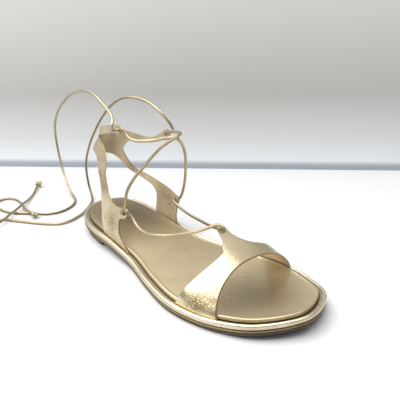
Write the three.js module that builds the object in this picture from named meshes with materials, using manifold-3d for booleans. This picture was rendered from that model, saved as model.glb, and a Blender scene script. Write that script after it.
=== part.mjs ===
// Flat gladiator sandal for a right foot: a layered leather sole, an arched vamp band with a lace
// tab, one ankle piece of quarters, rear straps, heel tab and forward arms, and a round leather lace.
// Millimetres, +Z up, +Y to the toe, +X to the wearer's right. The origin is on the floor under the
// middle of the heel.
import * as THREE from 'three';
import { mergeVertices } from 'three/addons/utils/BufferGeometryUtils.js';
import Module from 'manifold-3d';

const wasm = await Module();
wasm.setup();

// Driving sizes of the last and the sole
const soleLength = 252;
const ballWidth = 94.8;
const heelWidth = 60;
const heelReach = 32;
const ankleHeight = 80;
const instepHeight = 38;
const heelLift = 5;
const toeSpring = 6;

// Thicknesses and edges of the layers
const seam = 0.3;
const wallSeam = 0.45;
const topPieceThick = 1.4;
const outsoleThick = 1.8;
const weltThick = 1.3;
const rimThick = 2.6;
const beadHeight = 1.3;
const beadWidth = 3;
const footbedThick = 2.6;
const footbedRound = 1.2;
const outsoleInset = 0.8;
const outsoleChamfer = { inset: 0.5, height: 0.4 };
const heelInset = 3;

// Upper, eyelets and lace
const upperWall = 1.4;
const holeDiameter = 3.6;
const padWidth = 7.4;
const laceDiameter = 2.2;
const laceSides = 8;
const crossingStep = 4.4;
const looseStep = 7;
const knotWidth = 7.6;

// Levels above the underside of the outsole
const weltLevel = outsoleThick + seam;
const rimLevel = weltLevel + weltThick + seam;
const ledgeLevel = rimLevel + rimThick;
const footbedLevel = ledgeLevel + seam;
const footbedInset = beadWidth + wallSeam + upperWall + wallSeam;

const mix = (a, b, t) => a + (b - a) * t;
const clamp = (t) => Math.min(Math.max(t, 0), 1);
const ease = (t) => clamp(t) ** 2 * (3 - 2 * clamp(t));
const lengthwise = (share) => share * soleLength - heelReach;

// A column of a table at any place between its rows, on a smooth curve
function column(rows, key, at, name) {
  const last = rows.length - 2;
  let i = 0;
  while (i < last && at > rows[i + 1][key]) i += 1;
  const slope = (k) => {
    const before = rows[Math.max(k - 1, 0)];
    const after = rows[Math.min(k + 1, last + 1)];
    return (after[name] - before[name]) / (after[key] - before[key]);
  };
  const step = rows[i + 1][key] - rows[i][key];
  const t = clamp((at - rows[i][key]) / step);
  const swing = (1 - t) * slope(i) - t * slope(i + 1);
  const lean = (rows[i + 1][name] - rows[i][name]) / step;
  const bend = t * (1 - t) * step * (swing + (2 * t - 1) * lean);
  return mix(rows[i][name], rows[i + 1][name], t) + bend;
}

// Height of the outsole's underside: it stands on the forefoot, rises through the waist to the
// heel, and springs up at the toe
const waist = { heelEnd: 0.246, forefootStart: 0.5, springStart: 0.75 };

function rise(y) {
  const along = (y + heelReach) / soleLength;
  const heel = 1 - ease((along - waist.heelEnd) / (waist.forefootStart - waist.heelEnd));
  const toe = Math.max((along - waist.springStart) / (1 - waist.springStart), 0) ** 2;
  return heelLift * heel + toeSpring * toe;
}

// The sole seen from above: half widths as shares of the ball's width
const outlineRows = [
  { along: 0.04, lateral: 0.168, medial: 0.254 },
  { along: 0.11, lateral: 0.284, medial: 0.3 },
  { along: 0.2, lateral: 0.335, medial: 0.304 },
  { along: 0.32, lateral: 0.35, medial: 0.306 },
  { along: 0.44, lateral: 0.367, medial: 0.331 },
  { along: 0.56, lateral: 0.441, medial: 0.4 },
  { along: 0.68, lateral: 0.493, medial: 0.479 },
  { along: 0.77, lateral: 0.474, medial: 0.505 },
  { along: 0.86, lateral: 0.402, medial: 0.459 },
  { along: 0.945, lateral: 0.259, medial: 0.35 },
];
const endOffset = -0.035;
const stations = 30;
const outlineSteps = 900;

const outline = (() => {
  const place = (across, along) => new THREE.Vector3(across * ballWidth, lengthwise(along), 0);
  const points = [place(endOffset, 0)];
  for (const row of outlineRows) points.push(place(row.lateral, row.along));
  points.push(place(endOffset, 1));
  for (const row of [...outlineRows].reverse()) points.push(place(-row.medial, row.along));
  const curve = new THREE.CatmullRomCurve3(points, true, 'centripetal');
  const dense = curve.getPoints(outlineSteps).slice(0, -1);
  const ends = dense.reduce((found, point, i) => ({
    heel: point.y < dense[found.heel].y ? i : found.heel,
    toe: point.y > dense[found.toe].y ? i : found.toe,
  }), { heel: 0, toe: 0 });
  const walk = (step) => {
    const side = [];
    for (let i = ends.heel; ; i = (i + step + dense.length) % dense.length) {
      side.push(dense[i]);
      if (i === ends.toe) return side;
    }
  };
  return { lateral: walk(1), medial: walk(-1) };
})();

// A point of the outline on one side at a given y, with the direction pointing into the sole
function edge(side, y) {
  const line = outline[side];
  let i = 1;
  while (i < line.length - 1 && line[i].y < y) i += 1;
  const before = line[i - 1];
  const after = line[i];
  const t = clamp((y - before.y) / (after.y - before.y));
  const run = new THREE.Vector3().subVectors(after, before).normalize();
  const turn = side === 'lateral' ? 1 : -1;
  const inward = new THREE.Vector3(-run.y * turn, run.x * turn, 0);
  return { point: new THREE.Vector3().lerpVectors(before, after, t), inward };
}

// The x of the outline at a given y, moved in by an inset measured square to the edge
function edgeX(side, y, inset) {
  const { point, inward } = edge(side, y);
  return point.x + inset / inward.x;
}

// One closed ring of points round the sole at an inset and a level above its underside, with the
// two sides in step so that the faces across the sole can bend with it
function soleRing(inset, level) {
  const heelY = outline.lateral[0].y;
  const toeY = outline.lateral[outline.lateral.length - 1].y;
  const at = (k) => heelY + (toeY - heelY) * (1 - Math.cos((Math.PI * k) / stations)) / 2;
  const lift = (x, y) => [x, y, rise(y) + level];
  const side = (name, k) => {
    const { point, inward } = edge(name, at(k));
    return lift(point.x + inward.x * inset, point.y + inward.y * inset);
  };
  const ring = [lift(outline.lateral[0].x, heelY + inset)];
  for (let k = 1; k < stations; k += 1) ring.push(side('lateral', k));
  ring.push(lift(outline.medial[outline.medial.length - 1].x, toeY - inset));
  for (let k = stations - 1; k > 0; k -= 1) ring.push(side('medial', k));
  return ring;
}

function bodyOf(vertices, faces) {
  const geometry = new THREE.BufferGeometry();
  geometry.setAttribute('position', new THREE.Float32BufferAttribute(vertices.flat(), 3));
  geometry.setIndex(faces.flat());
  return geometry;
}

// A layer of the sole: rings stacked from the underside, round the edge, to the top
function soleLayer(profile) {
  const rings = profile.map((row) => soleRing(row.inset, row.level));
  const count = rings[0].length;
  const faces = [];
  for (let r = 0; r < rings.length - 1; r += 1) {
    for (let k = 0; k < count; k += 1) {
      const next = (k + 1) % count;
      const [a, b] = [r * count + k, r * count + next];
      faces.push([a, b, b + count], [a, b + count, a + count]);
    }
  }
  const top = (rings.length - 1) * count;
  for (let k = 0; k < stations; k += 1) {
    const across = (i) => (count - i) % count;
    const corners = [k, k + 1, across(k + 1), across(k)];
    for (const [i, j, m] of [[0, 1, 2], [0, 2, 3]]) {
      const face = [corners[i], corners[j], corners[m]];
      if (new Set(face).size < 3) continue;
      faces.push([face[0], face[2], face[1]]);
      faces.push(face.map((v) => v + top));
    }
  }
  return bodyOf(rings.flat(), faces);
}

function outsole() {
  return soleLayer([
    { inset: outsoleInset + outsoleChamfer.inset, level: 0 },
    { inset: outsoleInset, level: outsoleChamfer.height },
    { inset: outsoleInset, level: outsoleThick },
  ]);
}

function welt() {
  const middle = weltLevel + weltThick / 2;
  const top = weltLevel + weltThick;
  return soleLayer([
    { inset: outsoleInset, level: weltLevel },
    { inset: outsoleInset / 4, level: middle - weltThick / 4 },
    { inset: outsoleInset / 4, level: middle + weltThick / 4 },
    { inset: outsoleInset, level: top },
  ]);
}

// The rim's bead: shares of its width, in from the edge, and of its height above the ledge
const beadRows = [
  { across: 0.08, up: 0.35 },
  { across: 0.28, up: 0.85 },
  { across: 0.5, up: 1 },
  { across: 0.78, up: 0.75 },
  { across: 1, up: 0.2 },
  { across: 1, up: 0 },
];
const rimBelly = { inset: 0.1, low: 0.3, high: 0.75 };

function rim() {
  const bead = beadRows.map(({ across, up }) => ({
    inset: beadWidth * across,
    level: ledgeLevel + beadHeight * up,
  }));
  return soleLayer([
    { inset: outsoleInset + seam, level: rimLevel },
    { inset: beadWidth * rimBelly.inset, level: rimLevel + rimThick * rimBelly.low },
    { inset: 0, level: rimLevel + rimThick * rimBelly.high },
    ...bead,
  ]);
}

// The footbed's raised round edge: in from its side and down from its top, as shares of its round
const footbedRows = [
  { across: 0, down: 1 },
  { across: 0.3, down: 0.3 },
  { across: 1, down: 0 },
  { across: 2, down: 0.3 },
  { across: 4, down: 0.35 },
];

function footbed() {
  const top = footbedLevel + footbedThick;
  const edgeRings = footbedRows.map(({ across, down }) => ({
    inset: footbedInset + footbedRound * across,
    level: top - footbedRound * down,
  }));
  return soleLayer([
    { inset: footbedInset + seam, level: footbedLevel },
    { inset: footbedInset, level: footbedLevel + seam },
    ...edgeRings,
  ]);
}

// The heel block and its top piece: the sole's outline behind a straight front edge
const heelSteps = 14;

function heelPlate(bottom, top) {
  const front = lengthwise(waist.heelEnd) - heelInset;
  const start = outline.lateral[0].y + heelInset;
  const shape = new THREE.Shape();
  const at = (k) => mix(start, front, 1 - Math.cos((Math.PI / 2) * (k / heelSteps)));
  shape.moveTo(outline.lateral[0].x, start);
  for (let k = 1; k <= heelSteps; k += 1) {
    shape.lineTo(edgeX('lateral', at(k), heelInset), at(k));
  }
  for (let k = heelSteps; k > 0; k -= 1) {
    shape.lineTo(edgeX('medial', at(k), heelInset), at(k));
  }
  const depth = top - bottom;
  const geometry = new THREE.ExtrudeGeometry(shape, { depth, bevelEnabled: false });
  return geometry.translate(0, 0, bottom);
}

// Closed wall between two faces of a grid: place(i, j, 0) is its inner face, place(i, j, 1) its outer
function wallGrid(columns, rows, place) {
  const vertices = [];
  const faces = [];
  const index = (i, j, face) => ((j * (columns + 1)) + i) * 2 + face;
  for (let j = 0; j <= rows; j += 1) {
    for (let i = 0; i <= columns; i += 1) {
      vertices.push(place(i / columns, j / rows, 0), place(i / columns, j / rows, 1));
    }
  }
  const quad = (a, b, c, d) => faces.push([a, b, c], [a, c, d]);
  for (let j = 0; j < rows; j += 1) {
    for (let i = 0; i < columns; i += 1) {
      const corner = (face) => [[i, j], [i + 1, j], [i + 1, j + 1], [i, j + 1]].map(([a, b]) => index(a, b, face));
      quad(...corner(1));
      quad(...corner(0).reverse());
    }
  }
  for (let i = 0; i < columns; i += 1) {
    quad(index(i, 0, 0), index(i + 1, 0, 0), index(i + 1, 0, 1), index(i, 0, 1));
    quad(index(i + 1, rows, 0), index(i, rows, 0), index(i, rows, 1), index(i + 1, rows, 1));
  }
  for (let j = 0; j < rows; j += 1) {
    quad(index(0, j + 1, 0), index(0, j, 0), index(0, j, 1), index(0, j + 1, 1));
    quad(index(columns, j, 0), index(columns, j + 1, 0), index(columns, j + 1, 1), index(columns, j, 1));
  }
  return bodyOf(vertices, faces);
}

// A solid for joining and cutting, turned to face outwards
function solid(geometry) {
  const bare = new THREE.BufferGeometry();
  bare.setAttribute('position', geometry.attributes.position.clone());
  if (geometry.index) bare.setIndex(geometry.index.clone());
  const merged = mergeVertices(bare, 1e-4);
  const vertProperties = merged.attributes.position.array;
  const triVerts = Uint32Array.from(merged.index.array);
  let volume = 0;
  for (let t = 0; t < triVerts.length; t += 3) {
    const [a, b, c] = [0, 1, 2].map((k) => new THREE.Vector3().fromArray(vertProperties, triVerts[t + k] * 3));
    volume += a.dot(b.cross(c));
  }
  if (volume < 0) triVerts.reverse();
  return new wasm.Manifold(new wasm.Mesh({ numProp: 3, vertProperties, triVerts }));
}

function geometryOf(manifold) {
  const mesh = manifold.getMesh();
  const geometry = new THREE.BufferGeometry();
  geometry.setAttribute('position', new THREE.BufferAttribute(mesh.vertProperties, 3));
  geometry.setIndex(new THREE.BufferAttribute(mesh.triVerts, 1));
  return geometry;
}

const join = (solids) => solids.reduce((whole, next) => whole.add(next));
const cut = (whole, tools) => tools.reduce((left, tool) => left.subtract(tool), whole);

// The forefoot of the last under the band: an arch from edge to edge of the footbed, higher towards
// the instep. Inset is measured in from the outline, at the level of the ledge.
const archCrown = 0.797;
const archSlope = 0.45;
const archRound = { lateral: 1.7, medial: 1.55 };
const archShare = 0.79;
const archHeight = (instepHeight - footbedLevel - upperWall) * archShare;

function forefoot(x, y, proud) {
  const side = x > 0 ? 'lateral' : 'medial';
  const half = Math.abs(edgeX(side, y, footbedInset - wallSeam - proud));
  const height = archHeight + proud + (lengthwise(archCrown) - y) * archSlope;
  const share = Math.min(Math.abs(x) / half, 1);
  return rise(y) + footbedLevel + height * (1 - share ** 2) ** (1 / archRound[side]);
}

// The band: places of its front and rear edges from the lateral base (turn 0) to the medial base
// (turn 1), as shares of the sole's length
const bandRows = [
  { turn: 0, front: 0.842, rear: 0.71 },
  { turn: 0.12, front: 0.833, rear: 0.729 },
  { turn: 0.21, front: 0.822, rear: 0.744 },
  { turn: 0.3, front: 0.811, rear: 0.754 },
  { turn: 0.38, front: 0.803, rear: 0.755 },
  { turn: 0.45, front: 0.798, rear: 0.748 },
  { turn: 0.5, front: 0.796, rear: 0.744 },
  { turn: 0.56, front: 0.793, rear: 0.745 },
  { turn: 0.64, front: 0.789, rear: 0.749 },
  { turn: 0.74, front: 0.784, rear: 0.738 },
  { turn: 0.86, front: 0.778, rear: 0.7 },
  { turn: 1, front: 0.772, rear: 0.645 },
];

function vampPoint(turn, y, proud) {
  const swing = Math.cos(Math.PI * turn);
  const side = swing > 0 ? 'lateral' : 'medial';
  const half = Math.abs(edgeX(side, y, footbedInset - wallSeam - proud));
  const x = half * swing;
  return [x, y, forefoot(x, y, proud)];
}

const bandSteps = 26;
const bandDepth = 5;

function bandWall() {
  return wallGrid(bandSteps, bandDepth, (u, v, face) => {
    const front = lengthwise(column(bandRows, 'turn', u, 'front'));
    const rear = lengthwise(column(bandRows, 'turn', u, 'rear'));
    return vampPoint(u, mix(front, rear, v), face * upperWall);
  });
}

// The tab behind the band that the lace passes through: its sides as shares of the ball's width
const tabRows = [
  { along: 0.6805, left: -0.02, right: 0.006 },
  { along: 0.684, left: -0.033, right: 0.019 },
  { along: 0.69, left: -0.041, right: 0.027 },
  { along: 0.7, left: -0.043, right: 0.034 },
  { along: 0.712, left: -0.048, right: 0.045 },
  { along: 0.724, left: -0.064, right: 0.06 },
  { along: 0.736, left: -0.095, right: 0.084 },
  { along: 0.75, left: -0.135, right: 0.11 },
];
const tabHole = { along: 0.696, across: -0.006 };

// A piece that laps another is thinned by this much on each face, so that no two faces coincide
const lap = 0.03;
const tabAcross = 4;
const tabSteps = 12;

function tabWall() {
  return wallGrid(tabAcross, tabSteps, (u, v, face) => {
    const along = mix(tabRows[0].along, tabRows[tabRows.length - 1].along, v);
    const left = column(tabRows, 'along', along, 'left') * ballWidth;
    const right = column(tabRows, 'along', along, 'right') * ballWidth;
    const x = mix(left, right, u);
    const y = lengthwise(along);
    const proud = mix(lap, upperWall - lap, face);
    return [x, y, forefoot(x, y, proud)];
  });
}

// The rear of the last at the ankle: a round heel that runs on into straight sides. Centre and half
// width are shares of the heel's width, back is a share of the length, up of the ankle's height.
const ankleRows = [
  { up: 0.06, lateral: 0.47, medial: -0.41, centre: 0.03, back: 0.014, depth: 0.44, flare: 0 },
  { up: 0.3, lateral: 0.472, medial: -0.438, centre: 0.017, back: 0.014, depth: 0.455, flare: 0 },
  { up: 0.56, lateral: 0.4, medial: -0.438, centre: -0.025, back: 0.028, depth: 0.41, flare: 0 },
  { up: 0.7, lateral: 0.33, medial: -0.445, centre: -0.06, back: 0.038, depth: 0.385, flare: 0 },
  { up: 0.78, lateral: 0.262, medial: -0.447, centre: -0.083, back: 0.044, depth: 0.363, flare: 0 },
  { up: 0.875, lateral: 0.16, medial: -0.455, centre: -0.13, back: 0.05, depth: 0.345, flare: 0.12 },
  { up: 0.98, lateral: 0.07, medial: -0.455, centre: -0.18, back: 0.054, depth: 0.335, flare: 0.3 },
  { up: 1.26, lateral: 0.06, medial: -0.455, centre: -0.18, back: 0.064, depth: 0.335, flare: 0.3 },
];
const baseBlend = 0.26;

const flareStart = 0.2;

// A place round the last is read as a place along the sole by what the round heel takes up
const wrap = ankleRows[1].depth * heelWidth * (Math.PI / 2 - 1) - ankleRows[1].back * soleLength;

function baseUnder(around) {
  return rise(Math.abs(around) - wrap - heelReach) + footbedLevel;
}

// A point of the ankle piece: around is measured along the last from the middle of the back,
// positive on the lateral side, and up from the ledge of the rim
function anklePoint(around, up, proud) {
  const z = baseUnder(around) + up;
  const side = around > 0 ? 'lateral' : 'medial';
  const sign = around > 0 ? 1 : -1;
  const size = (name) => column(ankleRows, 'up', z / ankleHeight, name) * heelWidth;
  const centre = size('centre');
  const half = Math.abs(size(side) - centre);
  const depth = size('depth');
  const back = column(ankleRows, 'up', z / ankleHeight, 'back') * soleLength - heelReach;
  const quarter = Math.sqrt((half ** 2 + depth ** 2) / 2) * (Math.PI / 2);
  const angle = clamp(Math.abs(around) / quarter) * (Math.PI / 2);
  const beyond = Math.max(Math.abs(around) - quarter, 0);
  const y = back + depth - (depth + proud) * Math.cos(angle) + beyond;
  const ringX = centre + sign * (half + proud) * Math.sin(angle);
  if (beyond === 0) return [ringX, y, z];
  const start = flareStart * heelWidth;
  const flare = side === 'lateral' ? column(ankleRows, 'up', z / ankleHeight, 'flare') : 0;
  const flaredX = ringX + flare * (beyond ** 2 / (beyond + start));
  const baseX = edgeX(side, y, footbedInset - wallSeam - proud);
  const hold = 1 - ease(up / (baseBlend * ankleHeight));
  return [mix(flaredX, baseX, hold), y, z];
}

// A strip of the ankle piece between two edges, given row by row as shares of the sole's length
// around and of the ankle's height up. Skin thins a strip a little where it laps another.
function strip(rows, across, steps, skin = 0) {
  const line = (around, up) => {
    const points = rows.map((row) => new THREE.Vector3(row[around] * soleLength, row[up] * ankleHeight, 0));
    return new THREE.CatmullRomCurve3(points, false, 'centripetal');
  };
  const rear = line('rearAround', 'rearUp');
  const front = line('frontAround', 'frontUp');
  return wallGrid(across, steps, (u, v, face) => {
    const place = new THREE.Vector3().lerpVectors(rear.getPoint(v), front.getPoint(v), u);
    return anklePoint(place.x, place.y, mix(skin, upperWall - skin, face));
  });
}

const lateralPanel = [
  { rearAround: 0.302, rearUp: 0, frontAround: 0.444, frontUp: 0 },
  { rearAround: 0.303, rearUp: 0.07, frontAround: 0.42, frontUp: 0.06 },
  { rearAround: 0.302, rearUp: 0.145, frontAround: 0.404, frontUp: 0.13 },
  { rearAround: 0.296, rearUp: 0.225, frontAround: 0.399, frontUp: 0.21 },
  { rearAround: 0.284, rearUp: 0.31, frontAround: 0.395, frontUp: 0.29 },
  { rearAround: 0.272, rearUp: 0.38, frontAround: 0.368, frontUp: 0.345 },
  { rearAround: 0.264, rearUp: 0.42, frontAround: 0.33, frontUp: 0.37 },
  { rearAround: 0.254, rearUp: 0.455, frontAround: 0.304, frontUp: 0.42 },
  { rearAround: 0.238, rearUp: 0.5, frontAround: 0.281, frontUp: 0.482 },
  { rearAround: 0.213, rearUp: 0.552, frontAround: 0.247, frontUp: 0.558 },
  { rearAround: 0.178, rearUp: 0.617, frontAround: 0.202, frontUp: 0.662 },
  { rearAround: 0.13, rearUp: 0.68, frontAround: 0.143, frontUp: 0.75 },
  { rearAround: 0.08, rearUp: 0.71, frontAround: 0.084, frontUp: 0.794 },
  { rearAround: 0.034, rearUp: 0.718, frontAround: 0.034, frontUp: 0.806 },
  { rearAround: 0.002, rearUp: 0.718, frontAround: 0.002, frontUp: 0.806 },
];

const medialPanel = [
  { rearAround: -0.008, rearUp: 0.6, frontAround: -0.04, frontUp: 0.7 },
  { rearAround: -0.032, rearUp: 0.563, frontAround: -0.06, frontUp: 0.638 },
  { rearAround: -0.056, rearUp: 0.513, frontAround: -0.077, frontUp: 0.563 },
  { rearAround: -0.078, rearUp: 0.455, frontAround: -0.099, frontUp: 0.475 },
  { rearAround: -0.101, rearUp: 0.388, frontAround: -0.125, frontUp: 0.406 },
  { rearAround: -0.139, rearUp: 0.338, frontAround: -0.159, frontUp: 0.381 },
  { rearAround: -0.19, rearUp: 0.313, frontAround: -0.198, frontUp: 0.375 },
  { rearAround: -0.23, rearUp: 0.294, frontAround: -0.242, frontUp: 0.363 },
  { rearAround: -0.256, rearUp: 0.263, frontAround: -0.282, frontUp: 0.35 },
  { rearAround: -0.27, rearUp: 0.213, frontAround: -0.329, frontUp: 0.331 },
  { rearAround: -0.276, rearUp: 0.156, frontAround: -0.369, frontUp: 0.3 },
  { rearAround: -0.278, rearUp: 0.1, frontAround: -0.385, frontUp: 0.213 },
  { rearAround: -0.278, rearUp: 0.05, frontAround: -0.385, frontUp: 0.1 },
  { rearAround: -0.278, rearUp: 0, frontAround: -0.389, frontUp: 0 },
];

const heelTab = [
  { rearAround: 0.016, rearUp: 0.7, frontAround: 0.036, frontUp: 0.8 },
  { rearAround: 0.01, rearUp: 0.64, frontAround: 0.032, frontUp: 0.845 },
  { rearAround: 0.002, rearUp: 0.605, frontAround: 0.02, frontUp: 0.868 },
  { rearAround: -0.016, rearUp: 0.575, frontAround: 0, frontUp: 0.868 },
  { rearAround: -0.038, rearUp: 0.553, frontAround: -0.024, frontUp: 0.858 },
  { rearAround: -0.055, rearUp: 0.53, frontAround: -0.041, frontUp: 0.835 },
  { rearAround: -0.067, rearUp: 0.56, frontAround: -0.054, frontUp: 0.795 },
  { rearAround: -0.074, rearUp: 0.62, frontAround: -0.062, frontUp: 0.74 },
];

// How far round the end of a tongue its last rows stand, as shares of a quarter turn
const endTurns = [0.25, 0.5, 0.75, 0.97];

// A tongue of the ankle piece with a round end: its middle line and its widths, as shares of the
// sole's length around, of the ankle's height up and of the eyelet pad's width
function tongueRows(middle) {
  const size = new THREE.Vector3(soleLength, ankleHeight, 0);
  const points = middle.map((row) => new THREE.Vector3(row.around, row.up, 0).multiply(size));
  const curve = new THREE.CatmullRomCurve3(points, false, 'catmullrom', 0.5);
  const rows = [];
  const add = (place, direction, half) => {
    const aside = new THREE.Vector3(-direction.y, direction.x, 0).multiplyScalar(half);
    const rear = new THREE.Vector3().subVectors(place, aside);
    const front = new THREE.Vector3().addVectors(place, aside);
    rows.push({
      rearAround: rear.x / soleLength,
      rearUp: rear.y / ankleHeight,
      frontAround: front.x / soleLength,
      frontUp: front.y / ankleHeight,
    });
  };
  middle.forEach((row, i) => {
    const t = i / (middle.length - 1);
    add(points[i], curve.getTangent(t), (row.width * padWidth) / 2);
  });
  const end = points[points.length - 1];
  const direction = curve.getTangent(1);
  const radius = (middle[middle.length - 1].width * padWidth) / 2;
  for (const turn of endTurns) {
    const angle = (turn * Math.PI) / 2;
    const place = direction.clone().multiplyScalar(radius * Math.sin(angle)).add(end);
    add(place, direction, radius * Math.cos(angle));
  }
  return rows;
}

const medialArm = [
  { around: -0.022, up: 0.74, width: 1.4 },
  { around: -0.05, up: 0.742, width: 1.3 },
  { around: -0.1, up: 0.735, width: 0.9 },
  { around: -0.171, up: 0.755, width: 0.7 },
  { around: -0.222, up: 0.805, width: 0.72 },
  { around: -0.273, up: 0.895, width: 0.92 },
];
const lateralArm = [
  { around: -0.005, up: 0.79, width: 1.1 },
  { around: 0.037, up: 0.835, width: 1.1 },
  { around: 0.08, up: 0.88, width: 0.95 },
  { around: 0.14, up: 0.94, width: 0.84 },
  { around: 0.2, up: 0.99, width: 0.82 },
  { around: 0.258, up: 1.026, width: 0.95 },
];
const lateralLobe = [
  { around: 0.357, up: 0.29, width: 1.3 },
  { around: 0.389, up: 0.325, width: 1.1 },
  { around: 0.414, up: 0.355, width: 1 },
];
const medialLobe = [
  { around: -0.345, up: 0.235, width: 1.3 },
  { around: -0.362, up: 0.25, width: 1.1 },
  { around: -0.377, up: 0.258, width: 1 },
];

// Each eyelet: its middle on the leather and the way out of the last
function eyeletOn(point, aside, ahead) {
  const middle = new THREE.Vector3(...point(0, 0, upperWall / 2));
  const across = new THREE.Vector3(...point(aside, 0, upperWall / 2)).sub(middle);
  const along = new THREE.Vector3(...point(0, ahead, upperWall / 2)).sub(middle);
  const out = across.cross(along).normalize();
  const probe = new THREE.Vector3(...point(0, 0, upperWall)).sub(middle);
  if (out.dot(probe) < 0) out.negate();
  return { middle, out };
}

function ankleEyelet(rows) {
  const end = rows[rows.length - 1];
  const around = end.around * soleLength;
  const up = end.up * ankleHeight;
  return eyeletOn((a, b, proud) => anklePoint(around + a, up + b, proud), 1, 1);
}

const eyelets = {
  lateralArm: ankleEyelet(lateralArm),
  medialArm: ankleEyelet(medialArm),
  lateralLobe: ankleEyelet(lateralLobe),
  medialLobe: ankleEyelet(medialLobe),
  tab: eyeletOn((a, b, proud) => {
    const x = tabHole.across * ballWidth + a;
    const y = lengthwise(tabHole.along) + b;
    return [x, y, forefoot(x, y, proud)];
  }, 1, 1),
};

const holeSides = 14;

function punch({ middle, out }) {
  const radius = holeDiameter / 2;
  const tool = new THREE.CylinderGeometry(radius, radius, upperWall * 4, holeSides);
  const turn = new THREE.Quaternion().setFromUnitVectors(new THREE.Vector3(0, 1, 0), out);
  tool.applyQuaternion(turn);
  return solid(tool.translate(middle.x, middle.y, middle.z));
}

function vampBand() {
  return cut(join([solid(bandWall()), solid(tabWall())]), [punch(eyelets.tab)]);
}

// Faces across and along each strip
const panelAcross = 3;
const lateralSteps = 32;
const medialSteps = 30;
const heelTabAcross = 4;
const heelTabSteps = 9;
const armSteps = 20;
const lobeSteps = 10;

function ankleUpper() {
  const pieces = [
    strip(lateralPanel, panelAcross, lateralSteps),
    strip(medialPanel, panelAcross, medialSteps, lap),
    strip(heelTab, heelTabAcross, heelTabSteps, lap * 2),
    strip(tongueRows(lateralArm), panelAcross, armSteps, lap * 3),
    strip(tongueRows(medialArm), panelAcross, armSteps, lap * 4),
    strip(tongueRows(lateralLobe), panelAcross, lobeSteps, lap * 2),
    strip(tongueRows(medialLobe), panelAcross, lobeSteps, lap * 3),
  ];
  const holes = ['lateralArm', 'medialArm', 'lateralLobe', 'medialLobe'];
  return cut(join(pieces.map(solid)), holes.map((name) => punch(eyelets[name])));
}

// A round lace along a route of points
function lace(points, stepLength) {
  const path = new THREE.CatmullRomCurve3(points, false, 'centripetal');
  const shape = new THREE.Shape();
  for (let k = 0; k < laceSides; k += 1) {
    const angle = (2 * Math.PI * k) / laceSides;
    const [x, y] = [Math.cos(angle), Math.sin(angle)].map((share) => (share * laceDiameter) / 2);
    if (k === 0) shape.moveTo(x, y);
    else shape.lineTo(x, y);
  }
  const steps = Math.round(path.getLength() / stepLength);
  return new THREE.ExtrudeGeometry(shape, { steps, bevelEnabled: false, extrudePath: path });
}

const at = (x, y, z) => new THREE.Vector3(x, y, z);
const offEyelet = ({ middle, out }, distance) => middle.clone().addScaledVector(out, distance);

// The lace goes through an eyelet square to the leather, from inside the last to outside
const passDepth = 2.6;
const endGap = seam * 1.5;
const outThrough = (name) => [
  offEyelet(eyelets[name], -passDepth),
  offEyelet(eyelets[name], passDepth),
];

function laceCrossing() {
  const underTab = [
    offEyelet(eyelets.tab, passDepth),
    offEyelet(eyelets.tab, -passDepth),
  ];
  const lateralHalf = [
    ...underTab.slice().reverse(),
    at(1.4, 141.2, 46.9),
    at(4.6, 136.6, 44.9),
    at(8.8, 129.6, 41),
    at(13, 118.7, 36.4),
    at(17.5, 106.8, 32.4),
    at(21.3, 94.3, 29.7),
    at(22.4, 84, 27.9),
    at(22.4, 76, 28.2),
    at(21.9, 69, 30.6),
    at(22, 64.6, 34.4),
    ...outThrough('lateralLobe'),
    at(29.2, 68.4, 46),
    at(27.8, 71.4, 58),
    at(22, 73.2, 67.2),
    at(15.6, 75, 73.5),
    at(9.6, 78.3, 81),
    at(4, 81.1, 86.9),
    at(-2.5, 83.4, 90.9),
    at(-9, 84.4, 93.4),
    at(-14.5, 80, 93.4),
    at(-19, 70, 91.5),
    at(-23, 57, 88.4),
    at(-25.4, 46, 85.6),
    ...outThrough('medialArm'),
  ];
  const medialHalf = [
    ...underTab,
    at(-7, 135.5, 38.5),
    at(-12, 126, 34.5),
    at(-17, 110, 30),
    at(-20.5, 92, 27.5),
    at(-22.4, 74, 27),
    at(-23, 62, 28.6),
    ...outThrough('medialLobe'),
    at(-28.8, 60, 42),
    at(-27, 66, 55),
    at(-23.5, 72, 67),
    at(-19, 78, 77.5),
    at(-13, 82.6, 87),
    at(-8, 83, 92),
    at(-4, 77, 91.4),
    at(-1, 68.2, 89),
    at(2, 60.9, 87.4),
    at(6, 51, 86.2),
    at(9, 46, 88.4),
    ...outThrough('lateralArm'),
  ];
  return join([solid(lace(lateralHalf, crossingStep)), solid(lace(medialHalf, crossingStep))]);
}

// The free ends of the lace, by points chosen by hand: each leaves an arm's eyelet, arches over the
// back of the sandal and lies on the floor behind it, one diameter higher where it crosses itself or
// the other end
const knotMiddle = 3.6;
const knotSides = 12;
const knotRings = 8;

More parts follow.
